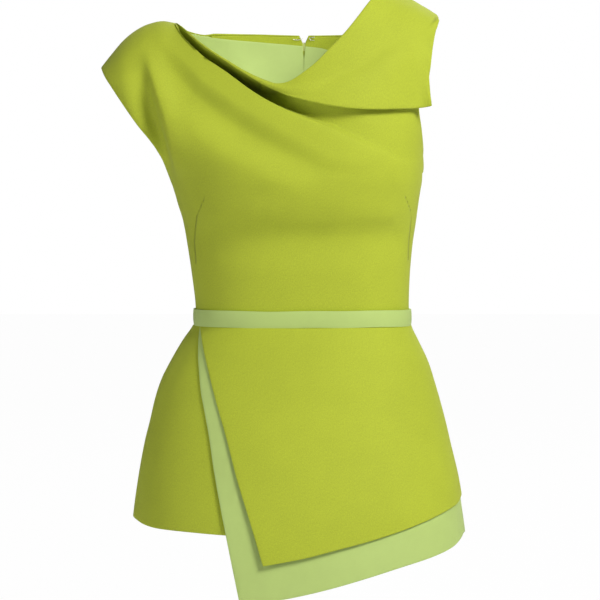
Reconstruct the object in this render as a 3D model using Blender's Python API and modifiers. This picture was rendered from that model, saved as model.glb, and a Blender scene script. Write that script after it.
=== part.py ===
# Draped asymmetric top: a bodice with one grown-on cap sleeve and one folded collar flap,
# a narrow belt, and a peplum of overlapping panels. Worn form, hollow inside.
# Front faces -Y, the wearer's left is +X. Tables are in millimetres, heights count up
# from the waist line, and the origin is the level at which the shoulders hold the top.

import bpy
import bmesh
import math
from mathutils import Matrix, Vector

MM = 0.001
SHOULDER_LEVEL = 355.0
BODICE_WALL = 2.0
COLLAR_WALL = 3.0
BELT_WALL = 3.0
BELT_HALF_HEIGHT = 9.5
PEPLUM_WALL = 1.2
LINING_WALL = 1.0
SEAM_GAP = 0.3
LAYER_STEP = 2.0
PEPLUM_TOP = -10.4
BUST_START = 165.0
SECTION_POWER = 2.4
PEPLUM_POWER = 2.3
BACK_SEAM_X = 3.0
UNDERARM_ROW = 12
ZIP_BOTTOM = -110.0
ZIP_TOP = 323.5
ZIP_HALF_WIDTH = 6.0


class Table:
    """Rows of sizes with named columns, read between rows along a smooth curve."""

    def __init__(self, columns, rows):
        self.names = columns.split()
        self.rows = rows

    def column(self, name):
        place = self.names.index(name)
        return [row[place] for row in self.rows]

    def at(self, value, along, wanted):
        return smooth_read(value, self.column(along), self.column(wanted))


def smooth_read(value, xs, ys):
    """Reads ys at value with a curve that never overshoots its rows."""
    if xs[0] > xs[-1]:
        xs = xs[::-1]
        ys = ys[::-1]
    if value <= xs[0]:
        return ys[0]
    if value >= xs[-1]:
        return ys[-1]
    last = len(xs) - 1
    steps = [(ys[i + 1] - ys[i]) / (xs[i + 1] - xs[i]) for i in range(last)]
    slopes = [steps[0]]
    for i in range(1, last):
        a, b = steps[i - 1], steps[i]
        slopes.append(0.0 if a * b <= 0 else 2 * a * b / (a + b))
    slopes.append(steps[-1])
    i = 0
    while value > xs[i + 1]:
        i += 1
    width = xs[i + 1] - xs[i]
    t = (value - xs[i]) / width
    rise = ys[i] * (1 + 2 * t) * (1 - t) ** 2 + ys[i + 1] * t * t * (3 - 2 * t)
    lean = slopes[i] * t * (1 - t) ** 2 - slopes[i + 1] * t * t * (1 - t)
    return rise + lean * width


# Half widths and depths of the bodice's inner face. Above the underarm the left half
# width runs on past the cap sleeve's edge, and the right one past the armhole.
BODICE = Table("height left right front back", [
    (-9.5, 124.5, 126.8, 93, 80),
    (12.6, 124.4, 126.8, 95, 82),
    (45.0, 127.8, 128.0, 98, 86),
    (84.0, 133.4, 131.7, 103, 91),
    (116.0, 138.9, 136.6, 112, 96),
    (134.0, 144.4, 138.6, 121, 99),
    (150.0, 149.0, 140.8, 128, 102),
    (164.0, 154.0, 143.0, 132, 104),
    (180.0, 170.0, 144.6, 133, 105),
    (191.0, 184.0, 145.4, 132, 106),
    (211.0, 206.0, 146.5, 129, 107),
    (230.0, 226.0, 147.0, 125, 107),
    (250.0, 243.0, 147.5, 120, 107),
    (277.0, 268.0, 151.0, 115, 106),
    (300.0, 285.0, 160.0, 109, 103),
    (330.0, 300.0, 178.0, 100, 98),
    (360.0, 315.0, 205.0, 90, 92),
    (400.0, 330.0, 240.0, 76, 84),
])

# Height of the shoulder line at each x. Between the neck points the line is not cloth:
# it sets how far the front and back have rolled over where the neckline cuts them.
SHOULDER = Table("x front back", [
    (-239.0, 297.6, 297.6),
    (-224.5, 315.0, 315.0),
    (-210.7, 330.0, 330.0),
    (-197.0, 341.0, 341.0),
    (-183.0, 348.2, 348.2),
    (-166.0, 351.8, 351.8),
    (-149.4, 349.5, 349.5),
    (-116.0, 362.0, 380.0),
    (-88.0, 382.0, 400.0),
    (-60.0, 410.0, 420.0),
    (-30.0, 450.0, 435.0),
    (0.0, 480.0, 440.0),
    (30.0, 478.0, 438.0),
    (60.0, 452.0, 425.0),
    (82.0, 418.0, 405.0),
    (98.0, 389.7, 389.7),
    (130.0, 370.2, 370.2),
    (161.0, 350.2, 350.2),
])

NECKLINE = Table("x height", [
    (-149.4, 349.5),
    (-132.0, 335.0),
    (-115.6, 320.2),
    (-88.1, 301.5),
    (-61.0, 284.7),
    (-41.0, 275.7),
    (-25.0, 271.4),
    (-12.0, 273.0),
    (-5.0, 277.5),
    (15.0, 291.6),
    (35.1, 313.0),
    (51.9, 330.5),
    (69.1, 353.0),
    (84.0, 373.6),
    (98.0, 389.7),
])

BACK_NECKLINE = Table("x height", [
    (-149.4, 349.5),
    (-137.0, 346.6),
    (-117.0, 343.6),
    (-60.0, 343.2),
    (3.0, 342.4),
    (55.0, 343.0),
    (76.0, 350.0),
    (90.0, 368.0),
    (98.0, 389.7),
])

# Edge of the cap sleeve, the same for front and back, from underarm to shoulder point.
CAP_EDGE = Table("x height", [
    (-154.0, 163.8),
    (-156.8, 171.9),
    (-160.5, 180.0),
    (-166.8, 190.0),
    (-179.7, 209.4),
    (-193.3, 227.7),
    (-206.9, 246.7),
    (-224.0, 271.5),
    (-232.5, 284.5),
    (-239.0, 297.6),
])

# Edge of the right armhole, from underarm to shoulder point.
ARMHOLE_EDGE = Table("x height", [
    (144.6, 180.0),
    (144.0, 192.0),
    (140.5, 221.0),
    (136.5, 251.0),
    (136.5, 285.0),
    (144.0, 322.0),
    (161.0, 350.2),
])

# Folds of the draped front. Depth is inwards, a negative depth is a ridge. Above and
# below are the reach to each side of the fold's line, which runs from left to right
# or from top to bottom.
FOLDS = {
    "neck hollow": Table("x height depth above below", [
        (-158.0, 349.0, 0.0, 6.0, 7.0),
        (-146.0, 338.5, 6.0, 6.0, 8.0),
        (-116.0, 313.2, 11.0, 7.0, 8.5),
        (-88.0, 294.2, 12.0, 8.0, 9.5),
        (-61.0, 276.4, 12.0, 9.0, 10.0),
        (-41.0, 266.0, 12.0, 10.0, 11.0),
        (-21.0, 254.5, 11.0, 15.0, 13.0),
        (5.0, 241.0, 10.0, 22.0, 13.0),
        (32.0, 229.5, 7.0, 24.0, 13.0),
        (52.0, 217.0, 5.0, 22.0, 9.0),
        (85.0, 199.5, 2.5, 18.0, 9.0),
        (127.0, 180.0, 0.0, 14.0, 9.0),
    ]),
    "neck ridge": Table("x height depth above below", [
        (-146.0, 322.0, 0.0, 8.0, 18.0),
        (-115.0, 300.5, -2.5, 9.0, 20.0),
        (-88.0, 281.5, -3.5, 10.0, 22.0),
        (-61.0, 261.5, -4.0, 10.0, 24.0),
        (-21.0, 237.0, -4.0, 10.0, 24.0),
        (32.0, 213.5, -3.5, 10.0, 26.0),
        (85.0, 187.0, -2.0, 10.0, 26.0),
        (127.0, 170.0, 0.0, 10.0, 24.0),
    ]),
    "long trough": Table("x height depth above below", [
        (-187.0, 334.0, 0.0, 14.0, 18.0),
        (-138.0, 292.0, 3.5, 16.0, 20.0),
        (-97.0, 257.0, 4.5, 20.0, 22.0),
        (-61.0, 233.0, 4.5, 20.0, 22.0),
        (-27.0, 210.0, 4.0, 18.0, 22.0),
        (19.0, 190.5, 3.0, 16.0, 22.0),
        (51.0, 178.0, 1.5, 14.0, 20.0),
        (88.0, 166.0, 0.0, 14.0, 20.0),
    ]),
    "cap ridge": Table("x height depth above below", [
        (-182.0, 318.0, 0.0, 14.0, 12.0),
        (-160.0, 282.0, -2.5, 16.0, 14.0),
        (-140.0, 240.0, -3.0, 18.0, 14.0),
        (-126.0, 200.0, 0.0, 18.0, 14.0),
    ]),
    "underarm crease": Table("x height depth above below", [
        (-195.0, 318.0, 0.0, 10.0, 20.0),
        (-184.6, 293.0, 2.5, 10.0, 22.0),
        (-172.6, 252.4, 6.0, 11.0, 24.0),
        (-165.5, 214.0, 9.0, 11.0, 22.0),
        (-158.5, 186.0, 9.0, 9.0, 14.0),
        (-151.0, 166.0, 3.0, 8.0, 8.0),
        (-146.0, 150.0, 0.0, 8.0, 8.0),
    ]),
}

# The collar: its outer edge below the neckline, from the left neck point to the corner,
# with how far it stands off the front, then up the side to the shoulder point.
COLLAR_EDGE = Table("x height lift", [
    (-146.5, 345.0, 0.6),
    (-130.0, 330.6, 0.8),
    (-113.6, 316.2, 1.0),
    (-86.2, 297.8, 1.2),
    (-62.6, 282.2, 1.5),
    (-50.0, 274.8, 2.0),
    (-35.6, 267.6, 3.0),
    (-14.4, 258.8, 4.5),
    (1.7, 254.5, 5.5),
    (28.1, 248.6, 6.5),
    (54.7, 244.7, 7.0),
    (74.6, 243.7, 7.0),
    (108.6, 245.3, 6.5),
    (133.0, 247.8, 6.0),
])
COLLAR_CORNER = Table("x y height", [
    (98.4, -1.0, 394.8),
    (130.0, -1.0, 376.9),
    (158.5, -1.5, 359.6),
    (162.4, -10.0, 354.8),
    (158.0, -34.0, 339.0),
    (154.0, -52.0, 319.0),
    (151.8, -62.0, 294.0),
    (152.6, -68.0, 262.0),
    (153.4, -69.0, 250.5),
])
COLLAR_CORNER_LIFT = 8.0

# Half widths and depths of the innermost layer of the peplum.
PEPLUM = Table("height left right front back", [
    (-9.5, 124.5, 126.4, 93, 80),
    (-14.0, 126.5, 127.6, 94, 82),
    (-29.9, 139.0, 134.6, 98, 88),
    (-56.9, 153.9, 147.2, 104, 97),
    (-77.6, 163.7, 154.4, 110, 104),
    (-97.3, 170.3, 160.2, 114, 110),
    (-126.6, 177.2, 168.0, 121, 117),
    (-151.0, 183.3, 174.3, 127, 124),
    (-196.0, 190.6, 184.6, 139, 136),
    (-236.0, 195.9, 190.6, 148, 142),
    (-300.0, 203.0, 199.0, 156, 148),
    (-350.0, 207.0, 204.0, 161, 152),
])

OVERLAY_EDGE = Table("height x", [
    (-9.5, -121.4),
    (-25.7, -118.6),
    (-48.7, -113.2),
    (-90.3, -101.8),
    (-138.5, -87.2),
    (-182.7, -74.9),
    (-243.9, -54.9),
    (-280.5, -43.7),
])
OVERLAY_HEM = Table("x height", [
    (-43.7, -280.5),
    (5.4, -271.1),
    (37.6, -263.0),
    (77.2, -253.4),
    (110.5, -244.4),
    (144.5, -233.9),
    (172.8, -224.1),
    (184.2, -219.6),
    (192.0, -212.0),
])
UNDERLAY_EDGE = Table("height x", [
    (-9.5, -122.6),
    (-25.9, -123.8),
    (-43.3, -123.6),
    (-60.7, -122.2),
    (-83.8, -119.5),
    (-106.9, -114.8),
    (-135.6, -108.5),
    (-174.1, -101.7),
    (-246.0, -86.5),
    (-324.3, -69.6),
])
UNDERLAY_HEM = Table("x height", [
    (-69.6, -324.3),
    (-21.1, -315.6),
    (5.1, -310.0),
    (37.5, -300.4),
    (77.0, -288.3),
    (116.9, -278.6),
    (158.1, -268.6),
    (179.7, -262.0),
    (190.0, -255.0),
    (195.0, -250.0),
])
LEFT_PANEL_EDGE = Table("height x", [
    (-9.5, -70.0),
    (-100.0, -68.0),
    (-250.0, -44.0),
])
LEFT_PANEL_HEM = Table("x height", [
    (-201.0, -236.0),
    (-190.0, -239.5),
    (-174.0, -242.0),
    (-140.0, -243.2),
    (-88.0, -245.3),
    (-40.0, -247.0),
])
BACK_HEM = Table("x height", [
    (-201.0, -236.0),
    (-120.0, -241.0),
    (0.0, -240.0),
    (120.0, -227.0),
    (192.0, -212.0),
])

# Half width of the opening at the top of the centre-back slit.
SLIT = Table("height half_width", [
    (316.0, 0.35),
    (321.0, 3.4),
    (334.0, 3.6),
    (342.4, 7.4),
])
FACING_SEAM = Table("x height", [
    (-113.1, 340.4),
    (-51.3, 335.6),
    (-5.6, 331.9),
    (22.9, 328.6),
    (45.0, 323.0),
    (70.0, 322.0),
])
LINING_BOTTOM = 246.0


def clear_scene():
    for thing in list(bpy.data.objects):
        bpy.data.objects.remove(thing, do_unlink=True)
    for group in list(bpy.data.collections):
        bpy.data.collections.remove(group)


def world(x, y, height):
    return Vector((x * MM, y * MM, (height - SHOULDER_LEVEL) * MM))


def section_side(share, power):
    """How far a section of this power has swung in at this share of its half width."""
    share = min(1.0, abs(share))
    return max(0.0, 1.0 - share ** power) ** (1.0 / power)


def roll(x, height, side):
    """1 on the chest, falling to 0 where the shoulder line is reached."""
    top = SHOULDER.at(x, "x", side)
    share = (height - BUST_START) / (top - BUST_START)
    share = min(1.0, max(0.0, share))
    return math.sqrt(1.0 - share ** 3)


def bodice_depth(x, height, side):
    """Distance of the inner face from the side-seam plane, folds left out."""
    half = BODICE.at(height, "height", "left" if x < 0 else "right")
    depth = BODICE.at(height, "height", side)
    return depth * section_side(x / half, SECTION_POWER) * roll(x, height, side)


def fold_depth(x, height):
    """Sum of the folds at a place on the front."""
    total = 0.0
    for fold in FOLDS.values():
        xs = fold.column("x")
        hs = fold.column("height")
        best = None
        for i in range(len(xs) - 1):
            ax, ah = xs[i], hs[i]
            dx, dh = xs[i + 1] - ax, hs[i + 1] - ah
            along = ((x - ax) * dx + (height - ah) * dh) / (dx * dx + dh * dh)
            t = min(1.0, max(0.0, along))
            ox, oh = x - (ax + dx * t), height - (ah + dh * t)
            distance = math.hypot(ox, oh)
            if best is None or distance < best[0]:
                side = dx * oh - dh * ox
                best = (distance, i, t, side)
        distance, i, t, side = best
        reach_name = "above" if side > 0 else "below"
        depths = fold.column("depth")
        reaches = fold.column(reach_name)
        depth = depths[i] + (depths[i + 1] - depths[i]) * t
        reach = reaches[i] + (reaches[i + 1] - reaches[i]) * t
        if distance < reach:
            total += depth * 0.5 * (1.0 + math.cos(math.pi * distance / reach))
    return total


def bodice_normal(x, height, side):
    """Outward direction of the unfolded face."""
    step = 1.0
    edge_x = BODICE.at(height, "height", "left" if x < 0 else "right")
    x = max(-edge_x + 2.5, min(edge_x - 2.5, x))
    slope_x = bodice_depth(x + step, height, side) - bodice_depth(x - step, height, side)
    slope_h = bodice_depth(x, height + step, side) - bodice_depth(x, height - step, side)
    way = -1.0 if side == "front" else 1.0
    normal = Vector((-slope_x / (2 * step), way, -slope_h / (2 * step)))
    return normal.normalized()


def bodice_point(x, height, side, offset=0.0, folded=True):
    """Point on the front or back, moved out by offset from its inner face."""
    way = -1.0 if side == "front" else 1.0
    y = way * (bodice_depth(x, height, side) + SEAM_GAP / 2)
    point = Vector((x, y, height))
    if side == "front" and folded:
        point -= bodice_normal(x, height, side) * fold_depth(x, height)
    if offset:
        point += bodice_normal(x, height, side) * offset
    return point


def chain_reader(table, names):
    """Reads a table as a smooth line by the share of its length, 0 to 1."""
    columns = [table.column(name) for name in names]
    places = [0.0]
    for i in range(1, len(columns[0])):
        step = math.dist([c[i] for c in columns], [c[i - 1] for c in columns])
        places.append(places[-1] + step)
    length = places[-1]

    def read(share):
        return [smooth_read(share * length, places, c) for c in columns]

    return read


def shoulder_line(x_from, x_to, share):
    x = x_from + (x_to - x_from) * share
    return x, SHOULDER.at(x, "x", "front")


def side_weight(u):
    return 0.5 - 0.5 * math.cos(math.pi * u)


def patch(bottom, top, left, right, us, vs):
    """Grid of (x, height) between four edges that meet at their ends."""
    b0, b1, t0, t1 = bottom(0.0), bottom(1.0), top(0.0), top(1.0)
    rows = []
    for v in vs:
        lv, rv = left(v), right(v)
        row = []
        for u in us:
            bu, tu = bottom(u), top(u)
            w = side_weight(u)
            point = []
            for k in range(len(bu)):
                ends = (1 - v) * bu[k] + v * tu[k] + (1 - w) * lv[k] + w * rv[k]
                corners = (1 - v) * ((1 - w) * b0[k] + w * b1[k])
                corners += v * ((1 - w) * t0[k] + w * t1[k])
                point.append(ends - corners)
            row.append(point)
        rows.append(row)
    return rows


def row_shares():
    """Rows from waist to shoulder, close together under the neckline."""
    lower = [0.52 * i / UNDERARM_ROW for i in range(UNDERARM_ROW + 1)]
    steps = [0.043, 0.043, 0.042, 0.040, 0.038, 0.036, 0.034, 0.032, 0.029, 0.027]
    steps += [0.024, 0.021, 0.018, 0.015, 0.013, 0.011, 0.008, 0.006]
    total = sum(steps)
    upper = []
    place = 0.52
    for step in steps:
        place += step * 0.48 / total
        upper.append(place)
    upper[-1] = 1.0
    return lower + upper


def left_edge(v):
    if v <= 0.52:
        height = -BELT_HALF_HEIGHT + (163.8 + BELT_HALF_HEIGHT) * v / 0.52
        return -BODICE.at(height, "height", "left"), height
    return CAP_READ((v - 0.52) / 0.48)


def right_edge(v):
    if v <= 0.52:
        height = -BELT_HALF_HEIGHT + (180.0 + BELT_HALF_HEIGHT) * v / 0.52
        return BODICE.at(height, "height", "right"), height
    return ARMHOLE_READ((v - 0.52) / 0.48)


def waist_x(angle):
    """x on the waist section for an angle of -90 to 90 degrees from the front."""
    s = math.sin(math.radians(angle))
    half = BODICE.at(-BELT_HALF_HEIGHT, "height", "left" if s < 0 else "right")
    return math.copysign(half * abs(s) ** (2.0 / SECTION_POWER), s)


CAP_READ = chain_reader(CAP_EDGE, ["x", "height"])
ARMHOLE_READ = chain_reader(ARMHOLE_EDGE, ["x", "height"])
NECK_READ = chain_reader(NECKLINE, ["x", "height"])

FRONT_SHOULDER_COLUMNS = 7
FRONT_NECK_COLUMNS = 20
BACK_SHOULDER_COLUMNS = 6
BACK_NECK_COLUMNS = 6


def front_grid():
    count = 2 * FRONT_SHOULDER_COLUMNS + FRONT_NECK_COLUMNS
    neck_left = FRONT_SHOULDER_COLUMNS / count
    neck_right = 1.0 - neck_left

    def bottom(u):
        return waist_x(-90.0 + 180.0 * u), -BELT_HALF_HEIGHT

    def top(u):
        if u <= neck_left:
            return shoulder_line(-239.0, -149.4, (u / neck_left) ** 1.3)
        if u >= neck_right:
            return shoulder_line(161.0, 98.0, ((1.0 - u) / neck_left) ** 1.3)
        return NECK_READ((u - neck_left) / (neck_right - neck_left))

    us = [i / count for i in range(count + 1)]
    flat = patch(bottom, top, left_edge, right_edge, us, row_shares())
    return [[bodice_point(x, height, "front") for x, height in row] for row in flat]


def back_rows():
    lower = [0.52 * i / 7 for i in range(8)]
    upper = [0.59, 0.66, 0.73, 0.80, 0.86, 0.91, 0.95, 0.98, 1.0]
    return lower + upper


def slit_half_width(height):
    return SLIT.at(height, "height", "half_width")


def back_waist_x(way, u):
    """x on the back of the waist section, from the side seam to the slit."""
    half = BODICE.at(-BELT_HALF_HEIGHT, "height", "left" if way < 0 else "right")
    slit = BACK_SEAM_X + way * slit_half_width(-BELT_HALF_HEIGHT)
    s = math.sin(math.radians(90.0 * (1.0 - u)))
    return slit + (way * half - slit) * s ** (2.0 / SECTION_POWER)


def back_grid(way, offset=0.0):
    """Left (-1) or right (+1) half of the back, from the side seam to the slit."""
    count = BACK_SHOULDER_COLUMNS + BACK_NECK_COLUMNS
    neck = BACK_SHOULDER_COLUMNS / count
    top_height = BACK_NECKLINE.at(BACK_SEAM_X, "x", "height")
    corner_x, neck_x = (-239.0, -149.4) if way < 0 else (161.0, 98.0)
    side = left_edge if way < 0 else right_edge

    def slit_x(height):
        return BACK_SEAM_X + way * slit_half_width(height)

    def bottom(u):
        return back_waist_x(way, u), -BELT_HALF_HEIGHT

    def top(u):
        if u <= neck:
            return shoulder_line(corner_x, neck_x, (u / neck) ** 1.3)
        share = (u - neck) / (1.0 - neck)
        share = share ** 0.85
        x = neck_x + (slit_x(top_height) - neck_x) * share
        return x, BACK_NECKLINE.at(x, "x", "height")

    def centre(v):
        height = -BELT_HALF_HEIGHT + (top_height + BELT_HALF_HEIGHT) * v
        return slit_x(height), height

    us = [i / count for i in range(count + 1)]
    flat = patch(bottom, top, side, centre, us, back_rows())
    rows = []
    for row in flat:
        rows.append([bodice_point(x, height, "back", offset) for x, height in row])
    return rows


def strip_grid(way, low, high, x_from, columns, rows, offset):
    """Part of the inside of the back between two heights, out to the slit."""
    grid = []
    for j in range(rows + 1):
        v = j / rows
        row = []
        for i in range(columns + 1):
            x = x_from + (BACK_SEAM_X - x_from) * i / columns
            height = low(x) + (high(x) - low(x)) * v
            limit = BACK_SEAM_X + way * slit_half_width(height)
            x = x_from + (limit - x_from) * i / columns
            height = low(x) + (high(x) - low(x)) * v
            near_shoulder = min(1.0, max(0.0, (-95.0 - x) / 40.0))
            row.append(bodice_point(x, height, "back", offset - 4.0 * near_shoulder))
        grid.append(row)
    return grid


def peplum_base(angle, height):
    """Innermost layer at an angle from the front, -90 left and 90 right; 180 is the back."""
    s = math.sin(math.radians(angle))
    c = math.cos(math.radians(angle))
    half = PEPLUM.at(height, "height", "left" if s < 0 else "right")
    depth = PEPLUM.at(height, "height", "front" if c >= 0 else "back")
    x = math.copysign(half * abs(s) ** (2.0 / PEPLUM_POWER), s)
    y = -math.copysign(depth * abs(c) ** (2.0 / PEPLUM_POWER), c)
    return Vector((x, y, height))


def peplum_normal(angle, height):
    across = peplum_base(angle + 2.0, height) - peplum_base(angle - 2.0, height)
    up = peplum_base(angle, height + 3.0) - peplum_base(angle, height - 3.0)
    return across.cross(up).normalized()


def peplum_point(angle, height, lift, top):
    """Point lifted off the innermost layer, and kept at the top row's height there."""
    normal = peplum_normal(angle, height)
    point = peplum_base(angle, height) + normal * lift
    if top:
        point.z = PEPLUM_TOP
    return point


def angle_for(x, height):
    """Angle at which the outer layer of the front passes x."""
    half = PEPLUM.at(height, "height", "left" if x < 0 else "right") + 5.1
    share = min(1.0, abs(x) / half)
    return math.copysign(math.degrees(math.asin(share ** (PEPLUM_POWER / 2.0))), x)


def front_panel_grid(edge, hem, end_angle, columns, rows, lift_at, from_left=False):
    """Panel from its free edge to a side seam. Lift depends on the way down and across."""
    grid = [[] for _ in range(rows + 1)]
    for i in range(columns + 1):
        a = i / columns
        hem_height = hem.rows[0][1] if not from_left else hem.rows[-1][1]
        for _ in range(12):
            start = angle_for(edge.at(hem_height, "height", "x"), hem_height)
            angle = start + (end_angle - start) * a
            x = peplum_base(angle, hem_height).x
            x += 5.1 * math.sin(math.radians(angle))
            hem_height = 0.5 * hem_height + 0.5 * hem.at(x, "x", "height")
        for j in range(rows + 1):
            v = (j / rows) ** 1.2
            height = PEPLUM_TOP + (hem_height - PEPLUM_TOP) * v
            start = angle_for(edge.at(height, "height", "x"), height)
            angle = start + (end_angle - start) * a
            grid[j].append(peplum_point(angle, height, lift_at(a, v, angle), j == 0))
    return grid


def overlay_lift(a, v, angle):
    return 2 * LAYER_STEP + 7.0 * v * v * math.exp(-a * 4.0)


def underlay_lift(a, v, angle):
    return LAYER_STEP + 4.5 * v * v * math.exp(-a * 5.0)


def left_panel_lift(a, v, angle):
    share = min(1.0, max(0.0, (abs(angle) - 66.0) / 24.0))
    return 2 * LAYER_STEP * share * share * (3 - 2 * share)


def back_peplum_grid(way, columns, rows):
    """Back peplum panel from its side seam to the centre-back seam."""
    grid = []
    for j in range(rows + 1):
        v = j / rows
        row = []
        for i in range(columns + 1):
            a = i / columns
            height = -236.0
            for _ in range(6):
                edge = math.degrees(0.4 / PEPLUM.at(height, "height", "back"))
                shift = way * BACK_SEAM_X / PEPLUM.at(height, "height", "right")
                last = 180.0 - edge + math.degrees(shift) * -1.0
                angle = way * (90.0 + (last - 90.0) * a)
                x = peplum_base(angle, height).x
                height = BACK_HEM.at(x, "x", "height")
            height = PEPLUM_TOP + (height - PEPLUM_TOP) * v
            point = peplum_point(angle, height, 2 * LAYER_STEP, j == 0)
            if i == 0:
                point.y = SEAM_GAP / 2
            if i == columns:
                point.x = BACK_SEAM_X + way * 0.35
            row.append(point)
        grid.append(row)
    return grid


def collar_grid(columns, rows):
    """Folded collar: a narrow band at the left that widens into a flap on the right."""
    edge_read = chain_reader(COLLAR_EDGE, ["x", "height", "lift"])
    end_read = chain_reader(COLLAR_CORNER, ["x", "y", "height"])
    first_gap = BODICE_WALL + 1.2

    def roll_line(u):
        x, height = NECK_READ(u)
        point = bodice_point(x, height, "front", first_gap, folded=False)
        point.z += 1.2
        return point

    def lower_edge(u):
        x, height, lift = edge_read(min(1.0, u / 0.93))
        point = bodice_point(x, height, "front", first_gap + 0.4, folded=False)
        point.y -= lift
        if u > 0.93:
            share = (u - 0.93) / 0.07
            last = Vector(end_read(1.0))
            last = Vector((last[0], last[1], last[2]))
            point = point.lerp(last, share)
        return point

    def right_end(v):
        return Vector(end_read(v))

    shift = right_end(0.0) - roll_line(1.0)
    t1 = right_end(1.0)
    grid = []
    for v in COLLAR_ROWS:
        row = []
        for i in range(columns + 1):
            u = 0.03 + 0.97 * i / columns
            point = (roll_line(u) + shift * u ** 6).lerp(lower_edge(u), v)
            point += (right_end(v) - right_end(0.0).lerp(t1, v)) * u ** 4
            width = (roll_line(u) - lower_edge(u)).length
            spare = 0.7 + 1.0 * u ** 6 + min(2.6, 0.03 * width) * math.sin(math.pi * v)
            row.append(keep_outside(point, first_gap + spare))
        grid.append(row)
    return grid


COLLAR_ROWS = [0.0, 0.08, 0.2, 0.335, 0.45, 0.62, 0.8, 1.0]


def keep_outside(point, gap):
    """Moves a collar point out until it clears the front's outer face."""
    for _ in range(3):
        x = min(point.x, ARMHOLE_EDGE.at(point.z, "height", "x") + 2.0)
        height = min(point.z, SHOULDER.at(x, "x", "front") - 0.8)
        face = bodice_point(x, height, "front", gap, folded=False)
        normal = bodice_normal(x, height, "front")
        inside = (face - Vector((x, point.y, point.z))).dot(normal)
        if inside > 0.0:
            point += normal * inside
    return point


def belt_grid():
    """The belt follows the waist section at the columns of the bodice pieces."""
    front_count = 2 * FRONT_SHOULDER_COLUMNS + FRONT_NECK_COLUMNS
    back_count = BACK_SHOULDER_COLUMNS + BACK_NECK_COLUMNS
    waist = [(back_waist_x(-1, 1.0 - i / back_count), "back") for i in range(back_count)]
    waist += [(waist_x(-90.0 + 180.0 * i / front_count), "front")
              for i in range(front_count + 1)]
    waist += [(back_waist_x(1, (i + 1) / back_count), "back") for i in range(back_count)]
    gap = BODICE_WALL + 0.4
    rows = []
    for height in (-BELT_HALF_HEIGHT, 0.0, BELT_HALF_HEIGHT):
        row = []
        for x, side in waist:
            edge = BODICE.at(-BELT_HALF_HEIGHT, "height", "left" if x < 0 else "right")
            share = min(1.0, abs(x) / edge)
            s = share ** (SECTION_POWER / 2.0)
            c = section_side(share, SECTION_POWER) ** (SECTION_POWER / 2.0)
            half = BODICE.at(height, "height", "left" if x < 0 else "right") + gap
            depth = BODICE.at(height, "height", side) + gap
            point = Vector((0.0, 0.0, height))
            point.x = math.copysign(half * s ** (2.0 / SECTION_POWER), x)
            point.y = depth * c ** (2.0 / SECTION_POWER) * (-1.0 if side == "front" else 1.0)
            row.append(point)
        row[0].x = BACK_SEAM_X - 0.4
        row[-1].x = BACK_SEAM_X + 0.4
        rows.append(row)
    return rows


def material(name, colour, roughness, metallic=0.0):
    made = bpy.data.materials.new(name)
    made.use_nodes = True
    shader = made.node_tree.nodes["Principled BSDF"]
    shader.inputs["Base Color"].default_value = (*colour, 1.0)
    shader.inputs["Roughness"].default_value = roughness
    shader.inputs["Metallic"].default_value = metallic
    return made


def add_object(name, mesh, look, home):
    made = bpy.data.objects.new(name, mesh)
    home.objects.link(made)
    made.data.materials.append(look)
    return made


def cloth(name, grid, wall, look, home, flip=False):
    """Open sheet through a grid of points, thickened outwards by its wall."""
    wide = len(grid[0])
    points = [world(p[0], p[1], p[2]) for row in grid for p in row]
    faces = []
    for j in range(len(grid) - 1):
        for i in range(wide - 1):
            a = j * wide + i
            face = (a, a + 1, a + 1 + wide, a + wide)
            faces.append(face[::-1] if flip else face)
    mesh = bpy.data.meshes.new(name)
    mesh.from_pydata(points, [], faces)
    mesh.shade_smooth()
    made = add_object(name, mesh, look, home)
    solid = made.modifiers.new("Wall", "SOLIDIFY")
    solid.thickness = wall * MM
    solid.offset = 1.0
    solid.use_even_offset = True
    return made


def apply_modifiers(target):
    mesh = bpy.data.meshes.new_from_object(
        target.evaluated_get(bpy.context.evaluated_depsgraph_get()))
    target.modifiers.clear()
    target.data = mesh


def box(name, size, look, home):
    mesh = bpy.data.meshes.new(name)
    shape = bmesh.new()
    bmesh.ops.create_cube(shape, size=1.0)
    bmesh.ops.scale(shape, vec=Vector(size) * MM, verts=shape.verts)
    shape.to_mesh(mesh)
    shape.free()
    return add_object(name, mesh, look, home)


def rod(name, radius, length, look, home, sides=12):
    """Round bar along X."""
    mesh = bpy.data.meshes.new(name)
    shape = bmesh.new()
    bmesh.ops.create_cone(shape, cap_ends=True, segments=sides, radius1=radius * MM,
                          radius2=radius * MM, depth=length * MM)
    bmesh.ops.rotate(shape, verts=shape.verts, matrix=Matrix.Rotation(math.pi / 2, 3, "Y"))
    shape.to_mesh(mesh)
    shape.free()
    return add_object(name, mesh, look, home)


def combine(target, other, operation):
    change = target.modifiers.new(operation, "BOOLEAN")
    change.operation = operation
    change.solver = "EXACT"
    change.object = other


def wire(name, points, radius, look, home):
    """Bent wire through points in millimetres."""
    line = bpy.data.curves.new(name, "CURVE")
    line.dimensions = "3D"
    line.bevel_depth = radius * MM
    line.bevel_resolution = 1
    line.use_fill_caps = True
    spline = line.splines.new("POLY")
    spline.points.add(len(points) - 1)
    for spot, place in zip(spline.points, points):
        spot.co = (*world(*place), 1.0)
    return add_object(name, line, look, home)


SLIDER_MIDDLE = 328.5
SLIDER_SIZE = (6.0, 4.6, 10.0)
TAB_LENGTH = 19.0
TAB_WIDTH = 5.0
TAB_WALL = 1.0
PIN_HEIGHT = 331.0
PIN_STANDOFF = 5.2
PIN_RADIUS = 0.5
EYE_RADIUS = 1.5
EYE_BORE = 0.9
LUG_WIDTH = 0.8
LUG_X = 2.4


def back_tangent(height):
    """Downward direction of the back's outer face at the slit."""
    a = bodice_point(BACK_SEAM_X, height, "back", BODICE_WALL)
    b = bodice_point(BACK_SEAM_X, height - 22.0, "back", BODICE_WALL)
    return (b - a).normalized()


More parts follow.
